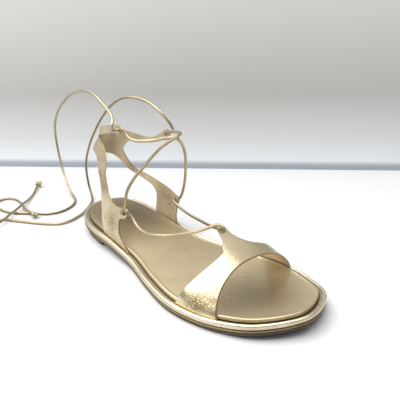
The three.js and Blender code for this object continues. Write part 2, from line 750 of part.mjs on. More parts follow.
const medialRoute = [
  offEyelet(eyelets.medialArm, passDepth + endGap),
  offEyelet(eyelets.medialArm, passDepth + laceDiameter),
  at(-34.1, 41.8, 85),
  at(-33.4, 40.6, 88.6),
  at(-30.8, 39.6, 93),
  at(-28.2, 35.4, 98.6),
  at(-26, 22, 104.6),
  at(-24.5, 6.6, 106),
  at(-22.6, -11.3, 103.6),
  at(-20.7, -30.2, 94),
  at(-18.4, -51.7, 74),
  at(-16.6, -69.9, 49.7),
  at(-15.8, -78, 30.8),
  at(-15.9, -77.4, 13.3),
  at(-15.4, -73, 4.6),
  at(-12.4, -65.4, 1.5),
  at(-7.9, -58.2, 1.2),
  at(0.5, -49, 1.2),
  at(10.2, -40.4, 1.2),
  at(19.3, -35.1, 1.2),
  at(28, -32, 1.2),
  at(37.2, -32.6, 1.2),
  at(48.3, -43.2, 1.2),
  at(61.4, -61.7, 1.2),
  at(70, -74.3, 1.2),
  at(79, -84, 1.2),
  at(90, -84, 1.2),
  at(95.5, -74, 1.4),
  at(90.5, -64.4, 2.6),
  at(78.6, -63.6, 3.8),
  at(66, -73.4, 3.8),
  at(52, -85, 3.8),
  at(42.9, -93.1, 3.8),
  at(33, -105, 1.6),
  at(21, -120, 1.4),
  at(13.2, -130.2, knotMiddle),
];

const lateralRoute = [
  offEyelet(eyelets.lateralArm, passDepth + endGap),
  offEyelet(eyelets.lateralArm, passDepth + laceDiameter),
  at(19.2, 40.3, 95.6),
  at(19, 41.2, 98.3),
  at(17, 39.3, 101.2),
  at(14.7, 34.2, 103.7),
  at(12.8, 26.3, 105.7),
  at(10.9, 14, 109.2),
  at(8, -4, 112.4),
  at(5.6, -24, 111.8),
  at(2, -54.3, 104.1),
  at(-1, -78.6, 93.1),
  at(-4, -102.7, 77.4),
  at(-5.6, -115, 61.5),
  at(-5.3, -114.4, 45.2),
  at(-4.9, -109.7, 28.8),
  at(-3.8, -101, 14),
  at(-2.4, -91, 5.2),
  at(-0.5, -78.5, 1.4),
  at(4.6, -68, 1.2),
  at(13.6, -60.2, 1.2),
  at(25.3, -56.9, 1.2),
  at(35.4, -60.2, 1.2),
  at(43.4, -68.4, 1.2),
  at(51.4, -76.3, 1.2),
  at(59, -85.6, 1.2),
  at(63.4, -98, 1.2),
  at(62.4, -111, 1.2),
  at(56, -121, 1.2),
  at(47.6, -121.6, 1.2),
  at(42.8, -112, 1.2),
  at(43.6, -98, 1.2),
  at(46.4, -84.4, 1.6),
  at(47.6, -73.6, 3.8),
  at(47, -65.4, knotMiddle),
];

// A knot just past the end of a free end of the lace, pulled tight into a short barrel
function knot(route) {
  const [before, end] = route.slice(-2);
  const away = new THREE.Vector3().subVectors(end, before).setZ(0).normalize();
  const half = knotWidth / 2;
  const body = new THREE.SphereGeometry(half, knotSides, knotRings).rotateX(Math.PI / 2);
  body.scale(1, 1, knotMiddle / half);
  const middle = end.clone().addScaledVector(away, half + seam);
  return body.translate(middle.x, middle.y, middle.z);
}

const parts = [];
function add(name, geometry, color, roughness, metalness) {
  const finish = new THREE.MeshStandardMaterial({ color, roughness, metalness });
  const mesh = new THREE.Mesh(geometry, finish);
  mesh.name = name;
  parts.push(mesh);
}

const blockBottom = topPieceThick + seam;
add('top_piece', heelPlate(0, topPieceThick), 0x3a3029, 0.8, 0);
add('heel_block', heelPlate(blockBottom, heelLift - seam), 0x54402a, 0.7, 0);
add('outsole', outsole(), 0x4b3b2a, 0.75, 0);
add('welt', welt(), 0x9d8250, 0.45, 0.4);
add('rim', rim(), 0xcdb679, 0.28, 0.8);
add('footbed', footbed(), 0xb5a276, 0.42, 0.5);
add('vamp_band', geometryOf(vampBand()), 0xd2c08c, 0.25, 0.85);
add('ankle_upper', geometryOf(ankleUpper()), 0xc4b183, 0.3, 0.75);
add('lace_crossing', geometryOf(laceCrossing()), 0xb59f6b, 0.35, 0.6);
add('lace_end_medial', lace(medialRoute, looseStep), 0xb59f6b, 0.35, 0.6);
add('lace_end_lateral', lace(lateralRoute, looseStep), 0xb59f6b, 0.35, 0.6);
add('knot_medial', knot(medialRoute), 0x9c7f52, 0.45, 0.4);
add('knot_lateral', knot(lateralRoute), 0x9c7f52, 0.45, 0.4);

const sandal = new THREE.Group();
sandal.name = 'gladiator_sandal';
for (const part of parts) sandal.add(part);

export default sandal;
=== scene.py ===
# Gladiator sandal for a right foot: flat layered sole, open vamp band, ankle straps and a round lace.
# Metres, +Z up, +Y to the toe, +X to the wearer's right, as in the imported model.
import bisect
import math

import bmesh
import bpy
from mathutils import Matrix, Quaternion, Vector


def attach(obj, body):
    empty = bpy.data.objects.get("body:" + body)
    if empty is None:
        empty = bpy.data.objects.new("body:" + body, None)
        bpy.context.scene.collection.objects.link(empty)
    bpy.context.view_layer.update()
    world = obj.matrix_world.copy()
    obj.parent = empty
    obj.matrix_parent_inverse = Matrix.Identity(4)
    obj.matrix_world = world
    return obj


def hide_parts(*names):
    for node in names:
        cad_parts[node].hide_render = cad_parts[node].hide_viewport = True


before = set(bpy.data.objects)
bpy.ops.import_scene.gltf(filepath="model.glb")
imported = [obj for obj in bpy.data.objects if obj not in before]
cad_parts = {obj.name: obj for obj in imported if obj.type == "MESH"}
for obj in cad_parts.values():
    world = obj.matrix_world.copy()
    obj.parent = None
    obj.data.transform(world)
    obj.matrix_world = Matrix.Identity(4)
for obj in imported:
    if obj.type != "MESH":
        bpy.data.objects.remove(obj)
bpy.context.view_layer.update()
bpy.ops.object.select_all(action="DESELECT")


# Camera
# It stands in front of the toe on the lateral side and looks down over the heel, slightly rolled,
# as the photograph does.
camera_place = Vector((0.2395, 0.4425, 0.2178))
camera_direction = Vector((-0.5539, -0.7460, -0.3697)).normalized()
camera_roll = math.radians(-2.18)

level_right = camera_direction.cross(Vector((0, 0, 1))).normalized()
level_up = level_right.cross(camera_direction)
camera_right = level_right * math.cos(camera_roll) + level_up * math.sin(camera_roll)
camera_up = camera_right.cross(camera_direction)
bpy.ops.object.camera_add()
camera = bpy.context.object
camera.name = "camera"
camera.data.sensor_width = 36
camera.data.lens = 57.57
camera_axes = Matrix((camera_right, camera_up, -camera_direction)).transposed()
camera.matrix_world = Matrix.Translation(camera_place) @ camera_axes.to_4x4()
bpy.context.scene.camera = camera
bpy.ops.object.select_all(action="DESELECT")


# Lace
# One round cord of thin leather folded over a core and glued, gold on the outside. It comes from the
# lateral arm, through the medial quarter, the band's tab and the lateral quarter, to the medial arm.
lace_diameter = 0.0022
lace_gold = (0.44, 0.37, 0.24, 1)
lace_gold_worn = (0.2, 0.13, 0.06, 1)
lace_seam_brown = (0.14, 0.085, 0.04, 1)
# The lace has this many points around it, and its glued seam darkens the first of them
ring_points = 12
seam_shares = (1, 0.55, 0.1)
steps_per_point = 8
same_place = 0.000001

# Middle of each eyelet and the way out of the last, and how far the lace runs straight in it
lateral_arm_eyelet = (Vector((0.01302, 0.04093, 0.09368)), Vector((0.958, -0.279, 0.058)))
medial_arm_eyelet = (Vector((-0.028, 0.04236, 0.0832)), Vector((-1, 0, 0)))
lateral_lobe_eyelet = (Vector((0.02652, 0.06282, 0.0377)), Vector((0.972, 0, 0.237)))
medial_lobe_eyelet = (Vector((-0.02709, 0.05217, 0.03098)), Vector((-1, 0, 0.006)))
tab_eyelet = (Vector((-0.00057, 0.14339, 0.04245)), Vector((-0.002, 0.41, 0.912)))
pass_depth = 0.0026


def off_eyelet(eyelet, distance):
    middle, out = eyelet
    return tuple(middle + out.normalized() * distance)


crossing_route = [
    off_eyelet(lateral_arm_eyelet, pass_depth),
    off_eyelet(lateral_arm_eyelet, -pass_depth),
    (0.009, 0.046, 0.0884),
    (0.006, 0.051, 0.0862),
    (0.002, 0.0609, 0.0874),
    (-0.001, 0.0682, 0.089),
    (-0.004, 0.077, 0.0914),
    (-0.008, 0.083, 0.092),
    (-0.013, 0.0826, 0.087),
    (-0.019, 0.078, 0.0775),
    (-0.0235, 0.072, 0.067),
    (-0.027, 0.066, 0.055),
    (-0.0288, 0.06, 0.042),
    off_eyelet(medial_lobe_eyelet, pass_depth),
    off_eyelet(medial_lobe_eyelet, -pass_depth),
    (-0.023, 0.062, 0.0286),
    (-0.0224, 0.074, 0.027),
    (-0.0205, 0.092, 0.0275),
    (-0.017, 0.11, 0.03),
    (-0.012, 0.126, 0.0345),
    (-0.007, 0.1355, 0.0385),
    off_eyelet(tab_eyelet, -pass_depth),
    off_eyelet(tab_eyelet, pass_depth),
    (0.0014, 0.1412, 0.0469),
    (0.0046, 0.1366, 0.0449),
    (0.0088, 0.1296, 0.041),
    (0.013, 0.1187, 0.0364),
    (0.0175, 0.1068, 0.0324),
    (0.0213, 0.0943, 0.0297),
    (0.0224, 0.084, 0.0279),
    (0.0224, 0.076, 0.0282),
    (0.0219, 0.069, 0.0306),
    (0.022, 0.0646, 0.0344),
    off_eyelet(lateral_lobe_eyelet, -pass_depth),
    off_eyelet(lateral_lobe_eyelet, pass_depth),
    (0.0292, 0.0684, 0.046),
    (0.0278, 0.0714, 0.058),
    (0.022, 0.0732, 0.0672),
    (0.0156, 0.075, 0.0735),
    (0.0096, 0.0783, 0.081),
    (0.004, 0.0811, 0.0869),
    (-0.0025, 0.0834, 0.0909),
    (-0.009, 0.0844, 0.0934),
    (-0.0145, 0.08, 0.0934),
    (-0.019, 0.07, 0.0915),
    (-0.023, 0.057, 0.0884),
    (-0.0254, 0.046, 0.0856),
    off_eyelet(medial_arm_eyelet, -pass_depth),
    off_eyelet(medial_arm_eyelet, pass_depth),
]


# A point of a smooth open or closed line through points, at a share of its length in points
def smooth_point(points, share, closed=False):
    count = len(points)
    place = share * (count if closed else count - 1)
    i = int(min(place, count - 1 if closed else count - 2))
    weight = place - i
    here, ahead = points[i % count], points[(i + 1) % count]
    before = points[(i - 1) % count] if closed or i > 0 else here * 2 - ahead
    after = points[(i + 2) % count] if closed or i + 2 < count else ahead * 2 - here
    gaps = [math.sqrt((b - a).length) for a, b in ((before, here), (here, ahead), (ahead, after))]
    step = gaps[1] if gaps[1] > same_place else 1.0
    first = gaps[0] if gaps[0] > same_place else step
    last = gaps[2] if gaps[2] > same_place else step
    start = ((here - before) / first - (ahead - before) / (first + step) + (ahead - here) / step) * step
    end = ((ahead - here) / step - (after - here) / (step + last) + (after - ahead) / last) * step
    square = weight * weight
    cube = square * weight
    return (
        here * (2 * cube - 3 * square + 1)
        + ahead * (3 * square - 2 * cube)
        + start * (cube - 2 * square + weight)
        + end * (cube - square)
    )


def smooth_line(points, steps_each):
    vectors = [Vector(point) for point in points]
    total = (len(points) - 1) * steps_each
    return [smooth_point(vectors, k / total) for k in range(total + 1)]


def select_only(piece):
    bpy.ops.object.select_all(action="DESELECT")
    piece.select_set(True)
    bpy.context.view_layer.objects.active = piece


# Paints a share from 0 to 1 on the points of a piece, by their number and place
def paint(piece, name, share_at):
    painted = piece.data.attributes.new(name, "FLOAT", "POINT")
    for vert in piece.data.vertices:
        painted.data[vert.index].value = share_at(vert.index, vert.co)


# How dark the seam is at a point of the lace: the points of each ring follow one another
def seam_share(number):
    across = number % ring_points
    return seam_shares[across] if across < len(seam_shares) else 0


def round_lace(name, line, material, cyclic=False):
    curve = bpy.data.curves.new(name, "CURVE")
    curve.dimensions = "3D"
    spline = curve.splines.new("POLY")
    spline.points.add(len(line) - 1)
    for point, place in zip(spline.points, line):
        point.co = (*place, 1)
    spline.use_cyclic_u = cyclic
    curve.bevel_depth = lace_diameter / 2
    curve.bevel_resolution = 4
    curve.use_fill_caps = not cyclic
    piece = bpy.data.objects.new(name, curve)
    bpy.context.scene.collection.objects.link(piece)
    piece.data.materials.append(material)
    select_only(piece)
    bpy.ops.object.convert(target="MESH")
    bpy.ops.object.shade_smooth_by_angle(angle=math.radians(50))
    lace = bpy.context.object
    paint(lace, "stain_and_shade", lambda number, place: seam_share(number))
    bpy.ops.object.mode_set(mode="EDIT")
    bpy.ops.mesh.select_all(action="SELECT")
    bpy.ops.mesh.remove_doubles(threshold=same_place)
    bpy.ops.object.mode_set(mode="OBJECT")
    return lace


# Adds a node to a material, world or group, with its settings, and a value or another node's output
# on each input that is named
def add_node(tree, kind, inputs=None, **settings):
    node = tree.nodes.new("ShaderNode" + kind)
    for name, setting in settings.items():
        setattr(node, name, setting)
    for name, feed in (inputs or {}).items():
        if isinstance(feed, bpy.types.NodeSocket):
            tree.links.new(feed, node.inputs[name])
        else:
            node.inputs[name].default_value = feed
    return node


# Shared effect: gold foil over leather, crazed into small cells, and drawn into long folds where it is
# worn, with soft patches of more and less crazing
warp_scale = 260
warp_reach = 0.0016
crack_width = 0.16
fold_tilt = math.radians(-18)
fold_stretch = (1.0, 0.24, 1.0)
fold_scale = 700
fold_width = 0.22
patch_scale = 55
patch_low = 0.35
patch_high = 0.68
patch_shade = 0.2
patch_gloss = 0.16
patch_swell = 5
grain_scale = 1400
crack_roughness = 0.3


def foil_group():
    group = bpy.data.node_groups.new("crazed_foil", "ShaderNodeTree")
    socket = group.interface.new_socket
    for name, kind in (
        ("Place", "NodeSocketVector"),
        ("Foil", "NodeSocketColor"),
        ("Craze", "NodeSocketColor"),
        ("Cell Scale", "NodeSocketFloat"),
        ("Craze Amount", "NodeSocketFloat"),
        ("Gloss", "NodeSocketFloat"),
        ("Worn", "NodeSocketFloat"),
    ):
        socket(name=name, in_out="INPUT", socket_type=kind)
    for name, kind in (
        ("Color", "NodeSocketColor"),
        ("Roughness", "NodeSocketFloat"),
        ("Height", "NodeSocketFloat"),
    ):
        socket(name=name, in_out="OUTPUT", socket_type=kind)
    given = group.nodes.new("NodeGroupInput").outputs
    made = group.nodes.new("NodeGroupOutput").inputs
    place = given["Place"]

    def calculate(operation, *values, clamp=False):
        inputs = dict(enumerate(values))
        return add_node(group, "Math", inputs, operation=operation, use_clamp=clamp).outputs[0]

    # From 1 on the lines between cells to 0 at this share of a cell's size from them
    def cell_lines(vector, scale, width):
        cells = add_node(
            group, "TexVoronoi", {"Vector": vector, "Scale": scale}, feature="DISTANCE_TO_EDGE"
        )
        limits = {"From Min": 0, "From Max": width, "To Min": 1, "To Max": 0}
        limits["Value"] = cells.outputs["Distance"]
        return add_node(group, "MapRange", limits, interpolation_type="SMOOTHSTEP").outputs["Result"]

    def noise(scale, detail):
        return add_node(group, "TexNoise", {"Vector": place, "Scale": scale, "Detail": detail}).outputs

    bent = add_node(
        group,
        "VectorMath",
        {0: noise(warp_scale, 3)["Color"], 1: (warp_reach, warp_reach, warp_reach), 2: place},
        operation="MULTIPLY_ADD",
    ).outputs[0]
    crack = cell_lines(bent, given["Cell Scale"], crack_width)
    tilted = add_node(
        group, "VectorRotate", {"Vector": bent, "Angle": fold_tilt}, rotation_type="X_AXIS"
    ).outputs[0]
    drawn = add_node(group, "VectorMath", {0: tilted, 1: fold_stretch}, operation="MULTIPLY").outputs[0]
    fold = cell_lines(drawn, fold_scale, fold_width)
    folded = calculate("MULTIPLY", fold, given["Worn"])

    patch = noise(patch_scale, 4)["Fac"]
    where = add_node(
        group, "MapRange", {"Value": patch, "From Min": patch_low, "From Max": patch_high}
    ).outputs["Result"]
    amount = calculate("MULTIPLY", where, given["Craze Amount"])
    with_wear = calculate("ADD", amount, given["Worn"])
    shown = calculate("MULTIPLY_ADD", crack, with_wear, folded, clamp=True)

    mottled = calculate("MULTIPLY_ADD", where, patch_shade, shown, clamp=True)
    colour = add_node(
        group, "Mix", {"Factor": mottled, "A": given["Foil"], "B": given["Craze"]}, data_type="RGBA"
    ).outputs["Result"]
    uneven = calculate("MULTIPLY_ADD", patch, patch_gloss, given["Gloss"])
    rough = calculate("MULTIPLY_ADD", shown, crack_roughness, uneven, clamp=True)
    swell = calculate("MULTIPLY_ADD", patch, patch_swell, noise(grain_scale, 2)["Fac"])
    sunk = calculate("SUBTRACT", swell, shown)
    for name, result in (("Color", colour), ("Roughness", rough), ("Height", sunk)):
        group.links.new(result, made[name])
    return group


crazed_foil = foil_group()


# A leather of this sandal. Where its piece is painted with a stain-and-shade share it turns to that
# colour: a real stain along the lace's seam, darker places and painted shade on the footbed, and painted
# shade on the rim and the ankle upper. Where it is painted as worn it crazes more.
def foil_leather(name, foil, craze, cell_scale, crazed, gloss, metallic, relief, stain_and_shade_colour=None):
    material = bpy.data.materials.new(name)
    material.use_nodes = True
    tree = material.node_tree
    shader = tree.nodes["Principled BSDF"]
    shader.inputs["Metallic"].default_value = metallic
    worn = add_node(tree, "Attribute", attribute_name="worn")
    stain_and_shade = add_node(tree, "Attribute", attribute_name="stain_and_shade")
    effect = tree.nodes.new("ShaderNodeGroup")
    effect.node_tree = crazed_foil
    for label, value in (
        ("Foil", foil),
        ("Craze", craze),
        ("Cell Scale", cell_scale),
        ("Craze Amount", crazed),
        ("Gloss", gloss),
    ):
        effect.inputs[label].default_value = value
    tree.links.new(add_node(tree, "TexCoord").outputs["Object"], effect.inputs["Place"])
    tree.links.new(worn.outputs["Fac"], effect.inputs["Worn"])
    dyed = add_node(
        tree,
        "Mix",
        {"Factor": stain_and_shade.outputs["Fac"], "A": effect.outputs["Color"], "B": stain_and_shade_colour or craze},
        data_type="RGBA",
    )
    bump = add_node(
        tree, "Bump", {"Distance": relief, "Strength": 0.6, "Height": effect.outputs["Height"]}
    )
    tree.links.new(dyed.outputs["Result"], shader.inputs["Base Color"])
    tree.links.new(effect.outputs["Roughness"], shader.inputs["Roughness"])
    tree.links.new(bump.outputs["Normal"], shader.inputs["Normal"])
    return material


lace_leather = foil_leather(
    "lace_leather", lace_gold, lace_gold_worn, cell_scale=1500, crazed=0.6, gloss=0.24,
    metallic=0.88, relief=0.00014, stain_and_shade_colour=lace_seam_brown,
)

crossing = round_lace("lace_laced", smooth_line(crossing_route, steps_per_point), lace_leather)
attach(crossing, "root")
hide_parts("lace_crossing")


# Free ends of the lace
# Each leaves an arm's eyelet, arches over the back of the sandal and lies on the floor behind it in
# loose curves, closed with a knot. They are 0.479 and 0.450 m long, and most of that shows.
lace_gap = 0.00045
lace_on_floor = 0.0012
lace_on_lace = 0.0038
knot_height = 0.0036
knot_reach = 0.0041
knot_radius = 0.00168
knot_tube = 0.00092
knot_steps = 96

medial_route = [
    off_eyelet(medial_arm_eyelet, pass_depth + lace_gap),
    off_eyelet(medial_arm_eyelet, pass_depth + lace_diameter),
    (-0.0341, 0.0418, 0.085),
    (-0.0334, 0.0406, 0.0886),
    (-0.0308, 0.0396, 0.093),
    (-0.0282, 0.0354, 0.0986),
    (-0.026, 0.022, 0.1046),
    (-0.0245, 0.0066, 0.106),
    (-0.0226, -0.0113, 0.1036),
    (-0.0207, -0.0302, 0.094),
    (-0.0184, -0.0517, 0.074),
    (-0.0166, -0.0699, 0.0497),
    (-0.0158, -0.078, 0.0308),
    (-0.0159, -0.0774, 0.0133),
    (-0.0154, -0.073, 0.0046),
    (-0.0124, -0.0654, 0.0015),
    (-0.0079, -0.0582, lace_on_floor),
    (0.0005, -0.049, lace_on_floor),
    (0.0102, -0.0404, lace_on_floor),
    (0.0193, -0.0351, lace_on_floor),
    (0.028, -0.032, lace_on_floor),
    (0.0372, -0.0326, lace_on_floor),
    (0.0483, -0.0432, lace_on_floor),
    (0.0614, -0.0617, lace_on_floor),
    (0.07, -0.0743, lace_on_floor),
    (0.079, -0.084, lace_on_floor),
    (0.09, -0.084, lace_on_floor),
    (0.0955, -0.074, 0.0014),
    (0.0905, -0.0644, 0.0026),
    (0.0786, -0.0636, lace_on_lace),
    (0.066, -0.0734, lace_on_lace),
    (0.052, -0.085, lace_on_lace),
    (0.0429, -0.0931, lace_on_lace),
    (0.033, -0.105, 0.0016),
    (0.021, -0.12, 0.0014),
    (0.0132, -0.1302, knot_height),
]
lateral_route = [
    off_eyelet(lateral_arm_eyelet, pass_depth + lace_gap),
    off_eyelet(lateral_arm_eyelet, pass_depth + lace_diameter),
    (0.0192, 0.0403, 0.0956),
    (0.019, 0.0412, 0.0983),
    (0.017, 0.0393, 0.1012),
    (0.0147, 0.0342, 0.1037),
    (0.0128, 0.0263, 0.1057),
    (0.0109, 0.014, 0.1092),
    (0.008, -0.004, 0.1124),
    (0.0056, -0.024, 0.1118),
    (0.002, -0.0543, 0.1041),
    (-0.001, -0.0786, 0.0931),
    (-0.004, -0.1027, 0.0774),
    (-0.0056, -0.115, 0.0615),
    (-0.0053, -0.1144, 0.0452),
    (-0.0049, -0.1097, 0.0288),
    (-0.0038, -0.101, 0.014),
    (-0.0024, -0.091, 0.0052),
    (-0.0005, -0.0785, 0.0014),
    (0.0046, -0.068, lace_on_floor),
    (0.0136, -0.0602, lace_on_floor),
    (0.0253, -0.0569, lace_on_floor),
    (0.0354, -0.0602, lace_on_floor),
    (0.0434, -0.0684, lace_on_floor),
    (0.0514, -0.0763, lace_on_floor),
    (0.059, -0.0856, lace_on_floor),
    (0.0634, -0.098, lace_on_floor),
    (0.0624, -0.111, lace_on_floor),
    (0.056, -0.121, lace_on_floor),
    (0.0476, -0.1216, lace_on_floor),
    (0.0428, -0.112, lace_on_floor),
    (0.0436, -0.098, lace_on_floor),
    (0.0464, -0.0844, 0.0016),
    (0.0476, -0.0736, lace_on_lace),
    (0.047, -0.0654, knot_height),
]


# A knot pulled tight: the lace wound into a closed trefoil just past the end of a route
def tight_knot(name, route):
    end = Vector(route[-1])
    away = end - Vector(route[-2])
    away.z = 0
    away.normalize()
    middle = end + away * knot_reach
    line = []
    for k in range(knot_steps):
        angle = 4 * math.pi * k / knot_steps
        reach = knot_radius + knot_tube * math.cos(1.5 * angle)
        up = knot_tube * math.sin(1.5 * angle)
        line.append(middle + Vector((reach * math.cos(angle), reach * math.sin(angle), up)))
    knot = round_lace(name, line, lace_leather, cyclic=True)
    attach(knot, "root")
    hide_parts(name)
    return knot


for side, route in (("medial", medial_route), ("lateral", lateral_route)):
    line = smooth_line(route, steps_per_point)
    loose_end = round_lace("loose_end_" + side, line, lace_leather)
    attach(loose_end, "root")
    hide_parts("lace_end_" + side)
    knot = tight_knot("knot_" + side, route)
    knot.name = "tight_knot_" + side


# Outsole
# A thin sole of brown leather, cut to the last's outline and sanded along its edge. It stands on the
# forefoot, rises through the waist to the heel and springs up at the toe.
sole_length = 0.252
ball_width = 0.0948
heel_reach = 0.032
heel_lift = 0.005
toe_spring = 0.006
heel_end = 0.246
forefoot_start = 0.5
spring_start = 0.75
outsole_inset = 0.0008
outsole_top = 0.0018
outsole_edge = (0.085, 0.06, 0.04, 1)
outsole_stain = (0.035, 0.024, 0.015, 1)

# Along the sole, lateral half width and medial half width, as shares of its length and ball width
outline_rows = [
    (0.04, 0.168, 0.254),
    (0.11, 0.284, 0.3),
    (0.2, 0.335, 0.304),
    (0.32, 0.35, 0.306),
    (0.44, 0.367, 0.331),
    (0.56, 0.441, 0.4),
    (0.68, 0.493, 0.479),
    (0.77, 0.474, 0.505),
    (0.86, 0.402, 0.459),
    (0.945, 0.259, 0.35),
]
outline_end = -0.035
outline_steps = 900


def ease(share):
    share = min(max(share, 0), 1)
    return share * share * (3 - 2 * share)


def lengthwise(share):
    return share * sole_length - heel_reach


def rise(y):
    along = (y + heel_reach) / sole_length
    heel = 1 - ease((along - heel_end) / (forefoot_start - heel_end))
    toe = max((along - spring_start) / (1 - spring_start), 0) ** 2
    return heel_lift * heel + toe_spring * toe


def outline_sides():
    points = [Vector((outline_end * ball_width, lengthwise(0), 0))]
    points += [Vector((lateral * ball_width, lengthwise(along), 0)) for along, lateral, _ in outline_rows]
    points.append(Vector((outline_end * ball_width, lengthwise(1), 0)))
    points += [
        Vector((-medial * ball_width, lengthwise(along), 0)) for along, _, medial in reversed(outline_rows)
    ]
    dense = [smooth_point(points, k / outline_steps, closed=True) for k in range(outline_steps)]
    heel = min(range(outline_steps), key=lambda k: dense[k].y)
    toe = max(range(outline_steps), key=lambda k: dense[k].y)
    sides = {}
    for side, step in (("lateral", 1), ("medial", -1)):
        line = [dense[heel]]
        k = heel
        while k != toe:
            k = (k + step) % outline_steps
            line.append(dense[k])
        sides[side] = line
    return sides


outline = outline_sides()
outline_places = {side: [point.y for point in line] for side, line in outline.items()}


# A point of the outline on one side at a given y, with the direction that points into the sole
def outline_edge(side, y):
    line = outline[side]
    i = min(max(bisect.bisect_left(outline_places[side], y), 1), len(line) - 1)
    before, after = line[i - 1], line[i]
    share = min(max((y - before.y) / (after.y - before.y), 0), 1)
    run = (after - before).normalized()
    turn = 1 if side == "lateral" else -1
    return before.lerp(after, share), Vector((-run.y * turn, run.x * turn, 0))


def outline_x(side, y, inset):
    point, inward = outline_edge(side, y)
    return point.x + inset / inward.x


# Points on each side of a layer, and squares across the heel end of the faces that close it
sole_stations = 96
fill_span = 14


def sole_ring(inset):
    heel, toe = outline["lateral"][0], outline["lateral"][-1]
    ring = [Vector((heel.x, heel.y + inset, 0))]
    turns = [math.pi * k / sole_stations for k in range(1, sole_stations)]
    places = [heel.y + (toe.y - heel.y) * (1 - math.cos(turn)) / 2 for turn in turns]
    for y in places:
        point, inward = outline_edge("lateral", y)
        ring.append(point + inward * inset)
    ring.append(Vector((outline["medial"][-1].x, toe.y - inset, 0)))
    for y in reversed(places):
        point, inward = outline_edge("medial", y)
        ring.append(point + inward * inset)
    return ring


# A closed layer: a ring primitive extruded ring by ring, filled above and below, then bent to the rise
def sole_layer(name, profile, material, bend=None):
    bpy.ops.mesh.primitive_circle_add(vertices=sole_stations * 2, fill_type="NOTHING")
    layer = bpy.context.object
    layer.name = name
    bpy.ops.object.mode_set(mode="EDIT")
    mesh = bmesh.from_edit_mesh(layer.data)
    station = mesh.verts.layers.int.new("station")
    for k, vert in enumerate(mesh.verts):
        vert[station] = k
    for row, (inset, level) in enumerate(profile):
        if row:
            bpy.ops.mesh.extrude_region_move()
            mesh = bmesh.from_edit_mesh(layer.data)
            station = mesh.verts.layers.int["station"]
        ring = sole_ring(inset)
        for vert in mesh.verts:
            if vert.select:
                vert.co = ring[vert[station]] + Vector((0, 0, level))
        bmesh.update_edit_mesh(layer.data)
    bpy.ops.mesh.fill_grid(span=fill_span, offset=-fill_span // 2)
    bpy.ops.mesh.select_all(action="DESELECT")
    mesh = bmesh.from_edit_mesh(layer.data)
    for edge in mesh.edges:
        edge.select = edge.is_boundary
    mesh.select_flush(True)
    bmesh.update_edit_mesh(layer.data)
    bpy.ops.mesh.fill_grid(span=fill_span, offset=-fill_span // 2)
    bpy.ops.mesh.select_all(action="SELECT")
    bpy.ops.mesh.normals_make_consistent(inside=False)
    bpy.ops.object.mode_set(mode="OBJECT")
    for vert in layer.data.vertices:
        dip = bend(vert.co.x, vert.co.y, vert.co.z) if bend else 0
        vert.co.z += rise(vert.co.y) + dip
    layer.data.materials.append(material)
    select_only(layer)
    bpy.ops.object.shade_smooth_by_angle(angle=math.radians(40))
    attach(layer, "root")
    return layer


outsole_leather = foil_leather(
    "outsole_leather", outsole_edge, outsole_stain, cell_scale=900, crazed=0.8, gloss=0.6,
    metallic=0, relief=0.0001,
)
outsole = sole_layer(
    "sanded_outsole",
    [
        (outsole_inset + 0.0005, 0),
        (outsole_inset + 0.0002, 0.0001),
        (outsole_inset, 0.0004),
        (outsole_inset, outsole_top - 0.0002),
        (outsole_inset + 0.0002, outsole_top),
    ],
    outsole_leather,
)
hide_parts("outsole")


# Heel block and top piece
# A low block of stacked leather cut straight across in front, with a rubber top piece glued under it.
heel_inset = 0.003
top_piece_top = 0.0014
block_bottom = 0.0017
block_top = 0.0047
block_edge_round = 0.0002
block_steps = 40
block_tan = (0.3, 0.225, 0.135, 1)
block_brown = (0.12, 0.08, 0.045, 1)
rubber_black = (0.045, 0.038, 0.032, 1)
rubber_stain = (0.025, 0.02, 0.018, 1)


def heel_layer(name, node, bottom, top, material):
    front = lengthwise(heel_end) - heel_inset
    back = outline["lateral"][0].y + heel_inset
    turns = [math.pi / 2 * k / block_steps for k in range(1, block_steps + 1)]
    places = [back + (front - back) * (1 - math.cos(turn)) for turn in turns]
    ring = [(outline["lateral"][0].x, back)]
    ring += [(outline_x("lateral", y, heel_inset), y) for y in places]
    ring += [(outline_x("medial", y, heel_inset), y) for y in reversed(places)]
    bpy.ops.mesh.primitive_circle_add(vertices=len(ring), fill_type="NGON")
    layer = bpy.context.object
    layer.name = name
    for vert, (x, y) in zip(layer.data.vertices, ring):
        vert.co = (x, y, bottom)
    bpy.ops.object.mode_set(mode="EDIT")
    bpy.ops.mesh.extrude_region_move(TRANSFORM_OT_translate={"value": (0, 0, top - bottom)})
    bpy.ops.mesh.select_all(action="SELECT")
    bpy.ops.mesh.normals_make_consistent(inside=False)
    bpy.ops.object.mode_set(mode="OBJECT")
    rounded = layer.modifiers.new("rounded", "BEVEL")
    rounded.width = block_edge_round
    rounded.segments = 2
    rounded.limit_method = "ANGLE"
    rounded.angle_limit = math.radians(40)
    select_only(layer)
    bpy.ops.object.modifier_apply(modifier="rounded")
    layer.data.materials.append(material)
    bpy.ops.object.shade_smooth_by_angle(angle=math.radians(40))
    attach(layer, "root")
    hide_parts(node)


stacked_leather = foil_leather(
    "stacked_leather", block_tan, block_brown, cell_scale=700, crazed=0.8, gloss=0.55,
    metallic=0, relief=0.0001,
)
top_rubber = foil_leather(
    "top_rubber", rubber_black, rubber_stain, cell_scale=1600, crazed=0.7, gloss=0.6,
    metallic=0, relief=0.0001,
)
heel_layer("rubber_top_piece", "top_piece", 0, top_piece_top, top_rubber)
heel_layer("stacked_heel_block", "heel_block", block_bottom, block_top, stacked_leather)


